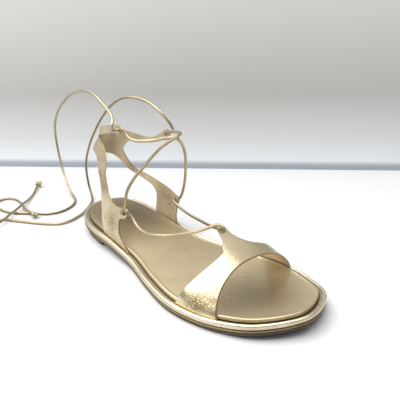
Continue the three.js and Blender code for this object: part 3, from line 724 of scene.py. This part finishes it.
# Welt
# A slim ply of pale leather between the outsole and the rim, rounded at its edge and burnished.
welt_bottom = 0.0021
welt_top = 0.0034
welt_tan = (0.26, 0.185, 0.09, 1)
welt_brown = (0.1, 0.065, 0.035, 1)
welt_leather = foil_leather(
    "welt_leather", welt_tan, welt_brown, cell_scale=800, crazed=0.7, gloss=0.34, metallic=0.45,
    relief=0.0001,
)
welt = sole_layer(
    "pale_welt",
    [
        (outsole_inset, welt_bottom),
        (outsole_inset * 0.45, welt_bottom + 0.0002),
        (outsole_inset / 4, welt_bottom + 0.00045),
        (outsole_inset / 4, welt_top - 0.00045),
        (outsole_inset * 0.45, welt_top - 0.0002),
        (outsole_inset, welt_top),
    ],
    welt_leather,
)
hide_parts("welt")


# Rim
# Gold foiled leather wrapped over the edge of the midsole, standing up as a rounded bead all round.
rim_bottom = 0.0037
ledge_level = 0.0063
bead_height = 0.0013
bead_width = 0.003
foil_gold = (0.6, 0.525, 0.355, 1)
# Colour of the foil's cracks, and of the painted shade on the ankle upper's outer face
foil_crack_and_shade = (0.2, 0.135, 0.06, 1)
rim_gold = (0.68, 0.615, 0.46, 1)
# Colour of the painted shade in the rim's grooves
groove_shade_brown = (0.13, 0.09, 0.045, 1)
bead_steps = 13
# The lower edge over the welt and the ledge inside the bead are painted brown, as painted shade in these
# grooves: how brown, by the row of the rim's profile. The faces that close it are as the last row.
groove_shade_rows = {0: 0.85, 1: 0.4, 16: 0.2, 17: 0.4, 18: 0.9}
rim_foil = foil_leather(
    "rim_foil", rim_gold, foil_crack_and_shade, cell_scale=900, crazed=0.3, gloss=0.2, metallic=0.94,
    relief=0.00005, stain_and_shade_colour=groove_shade_brown,
)


def rim_profile():
    crown = ledge_level + bead_height
    rows = [
        (outsole_inset + 0.0003, rim_bottom),
        (outsole_inset * 0.6, rim_bottom + 0.00035),
        (bead_width * 0.06, rim_bottom + 0.001),
        (0, ledge_level - 0.0006),
    ]
    for k in range(1, bead_steps):
        angle = math.pi * k / bead_steps
        side = bead_width * 0.5 * (1 - math.cos(angle))
        rows.append((side, ledge_level - 0.0005 + (bead_height + 0.0005) * math.sin(angle) ** 0.8))
    rows += [(bead_width + across, ledge_level) for across in (0, 0.0009, 0.0014)]
    return rows


def groove_shade(number):
    row = min(number // (2 * sole_stations), max(groove_shade_rows))
    return groove_shade_rows.get(row, 0)


rim = sole_layer("gold_rim", rim_profile(), rim_foil)
# Painted shade along the rim's lower edge and on the ledge inside the bead
paint(rim, "stain_and_shade", lambda number, place: groove_shade(number))
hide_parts("rim")


# Footbed
# An insole board wrapped in pale gold leather, with a raised round edge, set inside the bead. It is darker
# at the heel and along the medial arch, has painted shade under the band at the toes, and is pressed down
# slightly by the foot.
wall_seam = 0.00045
upper_wall = 0.0014
footbed_inset = bead_width + 2 * wall_seam + upper_wall
footbed_bottom = 0.0066
footbed_top = 0.0092
footbed_round = 0.0012
footbed_gold = (0.56, 0.465, 0.3, 1)
# Colour of the darker heel and arch, of the painted shade under the band at the toes, and of the mottling
footbed_brown_and_shade = (0.14, 0.105, 0.055, 1)
# Middle and reach of each pressed place, and its depth
pressed_places = [
    (0.0, 0.002, 0.026, 0.032, 0.0005),
    (0.004, 0.135, 0.034, 0.034, 0.00045),
    (-0.022, 0.192, 0.012, 0.014, 0.0003),
]
# Middle and reach of each darker place, and how dark it is: the heel, painted shade under the band at the
# toes, and the medial arch
footbed_dark_and_shade_places = [
    (-0.004, 0.014, 0.058, 0.088, 1),
    (0.002, 0.178, 0.056, 0.054, 0.78),
    (-0.02, 0.085, 0.024, 0.06, 0.25),
]


def foot_press(x, y, level):
    if level < footbed_top - footbed_round * 0.5:
        return 0
    depth = 0
    for middle_x, middle_y, reach_x, reach_y, deep in pressed_places:
        far = math.hypot((x - middle_x) / reach_x, (y - middle_y) / reach_y)
        depth -= deep * (1 - ease(far))
    return depth


def footbed_profile():
    rows = [(footbed_inset + 0.0003, footbed_bottom), (footbed_inset, footbed_bottom + 0.0003)]
    for k in range(7):
        angle = math.pi / 2 * k / 6
        rows.append(
            (
                footbed_inset + footbed_round * (1 - math.cos(angle)),
                footbed_top - footbed_round * (1 - math.sin(angle)),
            )
        )
    for across, down in ((1.5, 0.12), (2, 0.3), (3, 0.35), (5, 0.35)):
        rows.append((footbed_inset + footbed_round * across, footbed_top - footbed_round * down))
    return rows


footbed_leather = foil_leather(
    "footbed_leather", footbed_gold, footbed_brown_and_shade, cell_scale=1100, crazed=0, gloss=0.22,
    metallic=0.74, relief=0.00001,
)
footbed = sole_layer("wrapped_footbed", footbed_profile(), footbed_leather, bend=foot_press)


def footbed_dark_and_shade(place):
    share = 0
    for middle_x, middle_y, reach_x, reach_y, strength in footbed_dark_and_shade_places:
        far = math.hypot((place.x - middle_x) / reach_x, (place.y - middle_y) / reach_y)
        share = max(share, strength * (1 - ease(far)))
    return share


# Darker at the heel and arch, and painted shade under the band at the toes
paint(footbed, "stain_and_shade", lambda number, place: footbed_dark_and_shade(place))
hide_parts("footbed")


# Vamp band
# One band of gold foiled leather over the toes, cut flat with a tab for the lace, pulled over the last and
# tucked in between the rim and the footbed. Its cut edges are painted gold, made darker brown as painted
# shade along them.
instep_height = 0.038
arch_crown = 0.797
arch_slope = 0.45
arch_round = {"lateral": 1.7, "medial": 1.55}
arch_height = (instep_height - ledge_level - 0.0003 - upper_wall) * 0.79
band_girth = 0.125
hole_diameter = 0.0036
tab_hole = (0.696, -0.006)
# Cut edges: painted gold, made darker as painted shade along them
shaded_edge_gold = (0.36, 0.275, 0.145, 1)
edge_shade = (0.2, 0.125, 0.06, 1)
lining_gold = (0.58, 0.49, 0.33, 1)
# Colour of the lining's cracks, and of its painted shade inside the heel tab
lining_crack_and_shade = (0.22, 0.16, 0.085, 1)
edge_round = 0.00028
strip_spare = 0.0004

# Turn over the foot from the lateral to the medial base, front edge and rear edge along the sole
band_rows = [
    (0, 0.842, 0.71),
    (0.12, 0.833, 0.729),
    (0.21, 0.822, 0.744),
    (0.3, 0.811, 0.754),
    (0.38, 0.803, 0.755),
    (0.45, 0.798, 0.748),
    (0.5, 0.796, 0.744),
    (0.56, 0.793, 0.745),
    (0.64, 0.789, 0.749),
    (0.74, 0.784, 0.738),
    (0.86, 0.778, 0.7),
    (1, 0.772, 0.645),
]
# Along the sole, left edge and right edge as shares of the ball's width
tab_rows = [
    (0.6805, -0.02, 0.006),
    (0.684, -0.033, 0.019),
    (0.69, -0.041, 0.027),
    (0.7, -0.043, 0.034),
    (0.712, -0.048, 0.045),
    (0.724, -0.064, 0.06),
    (0.736, -0.095, 0.084),
    (0.75, -0.135, 0.11),
]


# A column of a table at any place of its first column, on a smooth curve
def table_value(rows, at, name):
    last = len(rows) - 2
    i = 0
    while i < last and at > rows[i + 1][0]:
        i += 1

    def slope(k):
        before, after = rows[max(k - 1, 0)], rows[min(k + 1, last + 1)]
        return (after[name] - before[name]) / (after[0] - before[0])

    step = rows[i + 1][0] - rows[i][0]
    t = min(max((at - rows[i][0]) / step, 0), 1)
    lean = (rows[i + 1][name] - rows[i][name]) / step
    swing = (1 - t) * slope(i) - t * slope(i + 1)
    bend = t * (1 - t) * step * (swing + (2 * t - 1) * lean)
    return rows[i][name] + (rows[i + 1][name] - rows[i][name]) * t + bend


def foot_half(side, y, proud):
    return abs(outline_x(side, y, footbed_inset - wall_seam - proud))


def over_forefoot(turn, y, proud):
    swing = math.cos(math.pi * turn)
    side = "lateral" if swing > 0 else "medial"
    x = foot_half(side, y, proud) * swing
    height = arch_height + proud + (lengthwise(arch_crown) - y) * arch_slope
    arched = height * max(1 - swing * swing, 0) ** (1 / arch_round[side])
    return Vector((x, y, rise(y) + footbed_bottom + arched))


# Puts a piece's points and faces in one fixed order. Operators may leave them in any order, and some of
# them give a different result for each, so the joined leather is put in order before and after them.
def put_in_order(piece):
    mesh = piece.data
    points = [vert.co.copy() for vert in mesh.vertices]
    order = sorted(range(len(points)), key=lambda k: tuple(round(value, 7) for value in points[k]))
    number = {k: place for place, k in enumerate(order)}
    faces = []
    for face in mesh.polygons:
        ring = [number[k] for k in face.vertices]
        first = ring.index(min(ring))
        faces.append(ring[first:] + ring[:first])
    mesh.clear_geometry()
    mesh.from_pydata([points[k] for k in order], [], sorted(faces))


def combine(whole, other, operation):
    step = whole.modifiers.new("combine", "BOOLEAN")
    step.operation = operation
    step.solver = "EXACT"
    step.use_self = operation == "UNION"
    step.object = other
    select_only(whole)
    bpy.ops.object.modifier_apply(modifier="combine")
    bpy.data.objects.remove(other)


# Leather cut flat: each strip is a row of squares between its two edges. Each is made a little
# thicker than the one before, so that they join cleanly, and all are then split to one thickness.
def cut_flat(name, strips):
    whole = None
    for order, (first_edge, second_edge) in enumerate(strips):
        spare = strip_spare * (order + 1)
        bpy.ops.mesh.primitive_grid_add(x_subdivisions=1, y_subdivisions=len(first_edge) - 1)
        strip = bpy.context.object
        for row, (a, b) in enumerate(zip(first_edge, second_edge)):
            strip.data.vertices[2 * row].co = (a[0], a[1], -spare)
            strip.data.vertices[2 * row + 1].co = (b[0], b[1], -spare)
        bpy.ops.object.mode_set(mode="EDIT")
        deep = upper_wall + 2 * spare
        bpy.ops.mesh.extrude_region_move(TRANSFORM_OT_translate={"value": (0, 0, deep)})
        bpy.ops.mesh.select_all(action="SELECT")
        bpy.ops.mesh.normals_make_consistent(inside=False)
        bpy.ops.object.mode_set(mode="OBJECT")
        if whole is None:
            whole = strip
        else:
            combine(whole, strip, "UNION")
    whole.name = name
    select_only(whole)
    bpy.ops.object.mode_set(mode="EDIT")
    for level, down in ((0, False), (upper_wall, True)):
        bpy.ops.mesh.select_all(action="SELECT")
        bpy.ops.mesh.bisect(
            plane_co=(0, 0, level),
            plane_no=(0, 0, 1),
            use_fill=True,
            clear_inner=not down,
            clear_outer=down,
        )
    bpy.ops.object.mode_set(mode="OBJECT")
    put_in_order(whole)
    return whole


# Rounds the inner corners where two strips meet
def soften_corners(piece, reach, repeats):
    bpy.ops.object.mode_set(mode="EDIT")
    bpy.ops.mesh.select_all(action="SELECT")
    bpy.ops.mesh.remove_doubles(threshold=0.0002)
    bpy.ops.object.mode_set(mode="OBJECT")
    put_in_order(piece)
    bpy.ops.object.mode_set(mode="EDIT")
    bpy.ops.mesh.select_all(action="SELECT")
    bpy.ops.mesh.dissolve_limited(angle_limit=math.radians(0.5))
    bpy.ops.object.mode_set(mode="OBJECT")
    put_in_order(piece)
    bpy.ops.object.mode_set(mode="EDIT")
    mesh = bmesh.from_edit_mesh(piece.data)
    corners = []
    for edge in mesh.edges:
        upright = abs(edge.verts[0].co.z - edge.verts[1].co.z) > upper_wall / 2
        if upright and len(edge.link_faces) == 2 and edge.calc_face_angle_signed() < math.radians(-18):
            corners.append(edge.verts[0].co.to_2d())
    for vert in mesh.verts:
        vert.select = any((vert.co.to_2d() - corner).length < reach for corner in corners)
    mesh.select_flush_mode()
    bmesh.update_edit_mesh(piece.data)
    bpy.ops.mesh.vertices_smooth(factor=0.5, repeat=repeats, zaxis=False)
    bpy.ops.object.mode_set(mode="OBJECT")
    put_in_order(piece)


def punch(piece, x, y):
    bpy.ops.mesh.primitive_cylinder_add(
        vertices=28, radius=hole_diameter / 2, depth=upper_wall * 4, location=(x, y, upper_wall / 2)
    )
    combine(piece, bpy.context.object, "DIFFERENCE")
    put_in_order(piece)


# The strongest of some round places at a point of the flat leather
def share_near(places, x, y):
    shares = []
    for middle_x, middle_y, reach, strength in places:
        shares.append(strength * (1 - ease(math.hypot(x - middle_x, y - middle_y) / reach)))
    return max(shares)


# Rounds the cut edges, divides the flat piece into small squares and lays it over the last
def round_and_last(piece, cell, over, worn_places, painted_shade_places=()):
    bpy.ops.object.mode_set(mode="EDIT")
    mesh = bmesh.from_edit_mesh(piece.data)
    for edge in mesh.edges:
        flat = sum(abs(face.normal.z) > 0.9 for face in edge.link_faces)
        edge.select = flat == 1
    mesh.select_flush_mode()
    bmesh.update_edit_mesh(piece.data)
    bpy.ops.mesh.bevel(offset=edge_round, segments=3, affect="EDGES", clamp_overlap=True)
    bpy.ops.object.mode_set(mode="OBJECT")
    put_in_order(piece)
    places = [vert.co.copy() for vert in piece.data.vertices]
    bpy.ops.object.mode_set(mode="EDIT")
    for axis in range(2):
        low = min(place[axis] for place in places)
        high = max(place[axis] for place in places)
        normal = Vector((1, 0, 0)) if axis == 0 else Vector((0, 1, 0))
        for k in range(1, int((high - low) / cell) + 1):
            bpy.ops.mesh.select_all(action="SELECT")
            bpy.ops.mesh.bisect(plane_co=normal * (low + k * cell), plane_no=normal)
    bpy.ops.object.mode_set(mode="OBJECT")
    put_in_order(piece)
    for face in piece.data.polygons:
        upright = abs(face.normal.z) < 0.55
        face.material_index = 1 if upright else (0 if face.normal.z > 0 else 2)
    paint(piece, "worn", lambda number, place: share_near(worn_places, place.x, place.y))
    # Painted shade, where its places are given
    if painted_shade_places:
        paint(piece, "stain_and_shade", lambda number, place: share_near(painted_shade_places, place.x, place.y))
    for vert in piece.data.vertices:
        vert.co = over(vert.co.x, vert.co.y, vert.co.z)
    select_only(piece)
    bpy.ops.object.mode_set(mode="EDIT")
    bpy.ops.mesh.select_all(action="SELECT")
    bpy.ops.mesh.normals_make_consistent(inside=False)
    bpy.ops.object.mode_set(mode="OBJECT")
    bpy.ops.object.shade_smooth_by_angle(angle=math.radians(50))
    even = piece.modifiers.new("even", "WEIGHTED_NORMAL")
    even.keep_sharp = True
    bpy.ops.object.modifier_apply(modifier="even")


def band_strips():
    steps = 72
    turns = [k / steps for k in range(steps + 1)]
    front = [(t * band_girth, lengthwise(table_value(band_rows, t, 1))) for t in turns]
    rear = [(t * band_girth, lengthwise(table_value(band_rows, t, 2))) for t in turns]
    sides = ([], [])
    for k in range(25):
        along = tab_rows[0][0] + (tab_rows[-1][0] - tab_rows[0][0]) * k / 24
        y = lengthwise(along)
        for side, name in zip(sides, (1, 2)):
            x = table_value(tab_rows, along, name) * ball_width
            half = foot_half("lateral" if x > 0 else "medial", y, upper_wall / 2)
            side.append((math.acos(x / half) / math.pi * band_girth, y))
    return [(front, rear), sides]


# Creases of the band where the foot bends it: both ends, half width and height of each
band_creases = [
    (0.014, 0.166, 0.031, 0.17, 0.0022, -0.00022),
    (0.017, 0.159, 0.036, 0.164, 0.0026, -0.0002),
    (0.03, 0.172, 0.046, 0.166, 0.002, 0.00016),
    (0.086, 0.148, 0.104, 0.15, 0.0028, -0.0003),
    (0.092, 0.138, 0.112, 0.141, 0.003, 0.00025),
]
# Middle, reach and strength of each crazed place on the flat band
band_worn = [
    (0.012, 0.165, 0.014, 0.9),
    (0.02, 0.173, 0.012, 0.8),
    (0.03, 0.172, 0.009, 0.4),
    (0.1, 0.145, 0.016, 0.5),
]


def crease_height(creases, x, y):
    height = 0
    for x0, y0, x1, y1, half, high in creases:
        run = Vector((x1 - x0, y1 - y0))
        share = min(max(Vector((x - x0, y - y0)).dot(run) / run.length_squared, 0), 1)
        off = math.hypot(x - x0 - run.x * share, y - y0 - run.y * share)
        fade = 1 - (2 * share - 1) ** 4
        height += high * fade * (1 - ease(off / half))
    return height


def band_place(x, y, thick):
    return over_forefoot(x / band_girth, y, thick + crease_height(band_creases, x, y))


upper_foil = foil_leather(
    "upper_foil", foil_gold, foil_crack_and_shade, cell_scale=1100, crazed=0.22, gloss=0.16,
    metallic=0.94, relief=0.0001,
)
painted_edge = foil_leather(
    "painted_edge", shaded_edge_gold, edge_shade, cell_scale=1500, crazed=0.6, gloss=0.35,
    metallic=0.6, relief=0.0001,
)
lining_leather = foil_leather(
    "lining_leather", lining_gold, lining_crack_and_shade, cell_scale=1200, crazed=0.4, gloss=0.32,
    metallic=0.65, relief=0.0001,
)


def finish_upper(piece, node):
    for material in (upper_foil, painted_edge, lining_leather):
        piece.data.materials.append(material)
    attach(piece, "root")
    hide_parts(node)


band = cut_flat("open_vamp_band", band_strips())
hole_y = lengthwise(tab_hole[0])
hole_turn = math.acos(tab_hole[1] * ball_width / foot_half("medial", hole_y, upper_wall / 2)) / math.pi
punch(band, hole_turn * band_girth, hole_y)
soften_corners(band, 0.004, 6)
round_and_last(band, 0.0018, band_place, band_worn)
finish_upper(band, "vamp_band")


# Ankle upper
# One piece of the same leather: a quarter on each side, two straps that rise from them to the back
# of the heel, a small heel tab, and two arms that reach forward to the lace.
ankle_height = 0.08
heel_width = 0.06
pad_width = 0.0074
base_blend = 0.26
flare_start = 0.2
# Up, lateral side, medial side, centre, back, depth and flare of the round heel of the last
ankle_rows = [
    (0.06, 0.47, -0.41, 0.03, 0.014, 0.44, 0),
    (0.3, 0.472, -0.438, 0.017, 0.014, 0.455, 0),
    (0.56, 0.4, -0.438, -0.025, 0.028, 0.41, 0),
    (0.7, 0.33, -0.445, -0.06, 0.038, 0.385, 0),
    (0.78, 0.262, -0.447, -0.083, 0.044, 0.363, 0),
    (0.875, 0.16, -0.455, -0.13, 0.05, 0.345, 0.12),
    (0.98, 0.07, -0.455, -0.18, 0.054, 0.335, 0.3),
    (1.26, 0.06, -0.455, -0.18, 0.064, 0.335, 0.3),
]
wrap = ankle_rows[1][5] * heel_width * (math.pi / 2 - 1) - ankle_rows[1][4] * sole_length
# Creases across the two rear straps and at the arms' roots, as on the band
ankle_creases = [
    (0.064, 0.0365, 0.072, 0.0375, 0.0016, -0.00028),
    (0.061, 0.0395, 0.069, 0.0405, 0.0016, 0.00024),
    (0.057, 0.0425, 0.065, 0.044, 0.0016, -0.00028),
    (0.053, 0.0455, 0.06, 0.047, 0.0016, 0.00022),
    (0.04, 0.0505, 0.046, 0.0545, 0.0018, -0.00025),
    (-0.028, 0.032, -0.024, 0.037, 0.0018, -0.0003),
    (-0.034, 0.0285, -0.031, 0.033, 0.0018, 0.00025),
    (-0.076, 0.02, -0.092, 0.023, 0.0026, -0.0003),
    (0.08, 0.018, 0.1, 0.016, 0.0026, -0.00025),
    (0.078, 0.01, 0.102, 0.009, 0.003, 0.00022),
    (-0.02, 0.049, -0.008, 0.066, 0.0024, -0.0003),
]
ankle_worn = [
    (0.066, 0.039, 0.012, 0.6),
    (0.056, 0.045, 0.012, 0.6),
    (0.09, 0.014, 0.016, 0.45),
    (-0.03, 0.031, 0.012, 0.5),
    (-0.085, 0.015, 0.016, 0.4),
]
# Painted shade inside the heel tab and at the root of the medial quarter
ankle_painted_shade = [
    (-0.004, 0.058, 0.02, 0.4),
    (-0.072, 0.016, 0.012, 0.3),
]


def over_ankle(around, up, proud):
    proud += crease_height(ankle_creases, around, up)
    z = rise(abs(around) - wrap - heel_reach) + footbed_bottom + up
    share = z / ankle_height
    side, sign, name = ("lateral", 1, 1) if around > 0 else ("medial", -1, 2)
    centre = table_value(ankle_rows, share, 3) * heel_width
    half = abs(table_value(ankle_rows, share, name) * heel_width - centre)
    depth = table_value(ankle_rows, share, 5) * heel_width
    back = table_value(ankle_rows, share, 4) * sole_length - heel_reach
    quarter = math.sqrt((half * half + depth * depth) / 2) * math.pi / 2
    angle = min(abs(around) / quarter, 1) * math.pi / 2
    beyond = max(abs(around) - quarter, 0)
    y = back + depth - (depth + proud) * math.cos(angle) + beyond
    ring_x = centre + sign * (half + proud) * math.sin(angle)
    if beyond == 0:
        return Vector((ring_x, y, z))
    flare = table_value(ankle_rows, share, 6) if side == "lateral" else 0
    flared_x = ring_x + flare * beyond * beyond / (beyond + flare_start * heel_width)
    base_x = outline_x(side, y, footbed_inset - wall_seam - proud)
    hold = 1 - ease(up / (base_blend * ankle_height))
    return Vector((flared_x + (base_x - flared_x) * hold, y, z))


# Rear edge and front edge of each strip: around the last from the back, positive on the lateral
# side, and up from the ledge, as shares of the sole's length and the ankle's height
lateral_panel = [
    (0.302, 0, 0.444, 0),
    (0.303, 0.07, 0.42, 0.06),
    (0.302, 0.145, 0.404, 0.13),
    (0.296, 0.225, 0.399, 0.21),
    (0.284, 0.31, 0.395, 0.29),
    (0.272, 0.38, 0.368, 0.345),
    (0.264, 0.42, 0.33, 0.37),
    (0.254, 0.455, 0.304, 0.42),
    (0.238, 0.5, 0.281, 0.482),
    (0.213, 0.552, 0.247, 0.558),
    (0.178, 0.617, 0.202, 0.662),
    (0.13, 0.68, 0.143, 0.75),
    (0.08, 0.71, 0.084, 0.794),
    (0.034, 0.718, 0.034, 0.806),
    (0.002, 0.718, 0.002, 0.806),
]
medial_panel = [
    (-0.008, 0.6, -0.04, 0.7),
    (-0.032, 0.563, -0.06, 0.638),
    (-0.056, 0.513, -0.077, 0.563),
    (-0.078, 0.455, -0.099, 0.475),
    (-0.101, 0.388, -0.125, 0.406),
    (-0.139, 0.338, -0.159, 0.381),
    (-0.19, 0.313, -0.198, 0.375),
    (-0.23, 0.294, -0.242, 0.363),
    (-0.256, 0.263, -0.282, 0.35),
    (-0.27, 0.213, -0.329, 0.331),
    (-0.276, 0.156, -0.369, 0.3),
    (-0.278, 0.1, -0.385, 0.213),
    (-0.278, 0.05, -0.385, 0.1),
    (-0.278, 0, -0.389, 0),
]
heel_tab = [
    (0.016, 0.7, 0.036, 0.8),
    (0.01, 0.64, 0.032, 0.845),
    (0.002, 0.605, 0.02, 0.868),
    (-0.016, 0.575, 0, 0.868),
    (-0.038, 0.553, -0.024, 0.858),
    (-0.055, 0.53, -0.041, 0.835),
    (-0.067, 0.56, -0.054, 0.795),
    (-0.074, 0.62, -0.062, 0.74),
]
# Middle line of each tongue, around and up, and its width as a share of the eyelet pad's
medial_arm = [
    (-0.022, 0.74, 1.4),
    (-0.05, 0.742, 1.3),
    (-0.1, 0.735, 0.9),
    (-0.171, 0.755, 0.7),
    (-0.222, 0.805, 0.72),
    (-0.273, 0.895, 0.92),
]
lateral_arm = [
    (-0.005, 0.79, 1.1),
    (0.037, 0.835, 1.1),
    (0.08, 0.88, 0.95),
    (0.14, 0.94, 0.84),
    (0.2, 0.99, 0.82),
    (0.258, 1.026, 0.95),
]
lateral_lobe = [
    (0.357, 0.29, 1.3),
    (0.389, 0.325, 1.1),
    (0.414, 0.355, 1),
]
medial_lobe = [
    (-0.345, 0.235, 1.3),
    (-0.362, 0.25, 1.1),
    (-0.377, 0.258, 1),
]


def flat_place(around, up):
    return Vector((around * sole_length, up * ankle_height, 0))


def panel_edges(rows, steps_each=7):
    rear = smooth_line([flat_place(row[0], row[1]) for row in rows], steps_each)
    front = smooth_line([flat_place(row[2], row[3]) for row in rows], steps_each)
    return rear, front


def tongue_edges(middle):
    points = [flat_place(around, up) for around, up, _ in middle]
    ahead = points[1:] + [points[-1] * 2 - points[-2]]
    before = [points[0] * 2 - points[1]] + points[:-1]
    rear, front = [], []
    for place, after, prior, (_, _, width) in zip(points, ahead, before, middle):
        direction = (after - prior).normalized()
        aside = Vector((-direction.y, direction.x, 0)) * width * pad_width / 2
        rear.append(place - aside)
        front.append(place + aside)
    for turn in (0.25, 0.5, 0.75, 0.97):
        angle = turn * math.pi / 2
        radius = middle[-1][2] * pad_width / 2
        place = points[-1] + direction * radius * math.sin(angle)
        aside = Vector((-direction.y, direction.x, 0)) * radius * math.cos(angle)
        rear.append(place - aside)
        front.append(place + aside)
    return smooth_line(rear, 7), smooth_line(front, 7)


ankle_strips = [panel_edges(rows) for rows in (lateral_panel, medial_panel, heel_tab)]
ankle_strips += [tongue_edges(rows) for rows in (lateral_arm, medial_arm, lateral_lobe, medial_lobe)]
ankle = cut_flat("ankle_straps_and_quarters", ankle_strips)
for tongue in (lateral_arm, medial_arm, lateral_lobe, medial_lobe):
    eyelet_place = flat_place(tongue[-1][0], tongue[-1][1])
    punch(ankle, eyelet_place.x, eyelet_place.y)
soften_corners(ankle, 0.004, 5)
round_and_last(ankle, 0.002, over_ankle, ankle_worn, ankle_painted_shade)
finish_upper(ankle, "ankle_upper")


# Floor and wall
# A plain white sheet that the sandal stands on, and a low grey wall behind it that only shows from its
# front, painted with light and shade. Neither is part of the sandal.
floor_size = 6
floor_level = -0.0001
floor_white = (0.54, 0.54, 0.55, 1)
wall_distance = 0.637
wall_length = 2.4
wall_height = 0.23
wall_turn = math.radians(-8.5)
# Height that the wall's painted light and shade are spread over, share of it and colour there: a painted
# shadow line at the foot, a pale painted band of light above it, and greyer higher up
painted_light_height = 0.16
wall_painted_light_and_shade = [
    (0, (0.28, 0.31, 0.35, 1)),
    (0.03, (0.3, 0.33, 0.37, 1)),
    (0.06, (0.64, 0.67, 0.69, 1)),
    (0.22, (0.52, 0.53, 0.53, 1)),
    (0.5, (0.36, 0.355, 0.345, 1)),
    (1, (0.46, 0.46, 0.44, 1)),
]


# A matt material and its shader
def matt_material(name, roughness):
    material = bpy.data.materials.new(name)
    material.use_nodes = True
    shader = material.node_tree.nodes["Principled BSDF"]
    shader.inputs["Roughness"].default_value = roughness
    return material, shader


# A ramp has its first and last colour from the start, and those between are added
def shade_ramp(tree, value, shades):
    ramp = add_node(tree, "ValToRGB", {"Fac": value})
    elements = ramp.color_ramp.elements
    for number, (position, colour) in ((0, shades[0]), (1, shades[-1])):
        elements[number].position = position
        elements[number].color = colour
    for position, colour in shades[1:-1]:
        elements.new(position).color = colour
    return ramp.outputs["Color"]


bpy.ops.mesh.primitive_plane_add(size=floor_size, location=(0, 0, floor_level))
floor = bpy.context.object
floor.name = "floor"
floor_paper, paper_shader = matt_material("floor_paper", 0.5)
paper_shader.inputs["Base Color"].default_value = floor_white
floor.data.materials.append(floor_paper)

ahead = Vector((camera_direction.x, camera_direction.y, 0)).normalized()
wall_foot = Vector((camera_place.x, camera_place.y, 0)) + ahead * wall_distance
aside = Vector((-ahead.y, ahead.x, 0)).normalized()
aside.rotate(Quaternion((0, 0, 1), wall_turn))
bpy.ops.mesh.primitive_plane_add(size=1)
wall = bpy.context.object
wall.name = "wall"
for vert in wall.data.vertices:
    along, up = vert.co.x * wall_length, (vert.co.y + 0.5) * wall_height
    vert.co = wall_foot - aside * along + Vector((0, 0, up))
wall_paint, paint_shader = matt_material("wall_paint", 0.6)
tree = wall_paint.node_tree
height = add_node(tree, "SeparateXYZ", {0: add_node(tree, "TexCoord").outputs["Object"]}).outputs["Z"]
spread = add_node(tree, "MapRange", {"Value": height, "From Max": painted_light_height}).outputs["Result"]
tree.links.new(shade_ramp(tree, spread, wall_painted_light_and_shade), paint_shader.inputs["Base Color"])
see_through = add_node(tree, "BsdfTransparent").outputs[0]
from_behind = add_node(tree, "NewGeometry").outputs["Backfacing"]
either = add_node(tree, "MixShader", {0: from_behind, 1: paint_shader.outputs[0], 2: see_through})
tree.links.new(either.outputs[0], tree.nodes["Material Output"].inputs["Surface"])
wall.data.materials.append(wall_paint)


# Studio light
# A surround that is bright above and dim at the horizon, and four large soft boxes. What is seen
# beyond the floor is a plain pale backdrop.
sky_strength = 0.9
backdrop_grey = (0.86, 0.86, 0.86, 1)
sky_shades = [(0, (0.15, 0.145, 0.14, 1))]
for position, grey in ((0.2, 0.24), (0.42, 0.5), (0.62, 0.9), (0.95, 1)):
    sky_shades.append((position, (grey, grey * 0.99, grey * 0.97, 1)))

bpy.context.scene.view_settings.view_transform = "Standard"
world = bpy.data.worlds.new("studio")
bpy.context.scene.world = world
world.use_nodes = True
tree = world.node_tree
sky = tree.nodes["Background"]
sky.inputs["Strength"].default_value = sky_strength
up = add_node(tree, "SeparateXYZ", {0: add_node(tree, "TexCoord").outputs["Generated"]}).outputs["Z"]
tree.links.new(shade_ramp(tree, up, sky_shades), sky.inputs["Color"])
backdrop = add_node(tree, "Background", {"Color": backdrop_grey}).outputs[0]
seen = add_node(tree, "LightPath").outputs["Is Camera Ray"]
either = add_node(tree, "MixShader", {0: seen, 1: sky.outputs[0], 2: backdrop})
tree.links.new(either.outputs[0], tree.nodes["World Output"].inputs["Surface"])


def soft_box(name, place, aim, size, power):
    bpy.ops.object.light_add(type="AREA", location=place)
    light = bpy.context.object
    light.name = name
    light.data.shape = "RECTANGLE"
    light.data.size, light.data.size_y = size
    light.data.energy = power
    light.rotation_mode = "QUATERNION"
    light.rotation_quaternion = (Vector(aim) - Vector(place)).to_track_quat("-Z", "Y")


# Name, place, the point that it faces, width and depth, and power
soft_box("top_box", (0.25, 0.05, 0.95), (0, 0.05, 0.02), (1.1, 1.1), 15)
soft_box("side_box", (0.85, -0.4, 0.62), (0, 0.05, 0.02), (0.75, 0.55), 5.5)
soft_box("back_box", (-0.1, -1.0, 1.0), (0, 0.08, 0.02), (1.3, 0.8), 10)
soft_box("front_box", (-0.4, 0.9, 1.2), (0, 0.08, 0.02), (0.7, 0.7), 4)
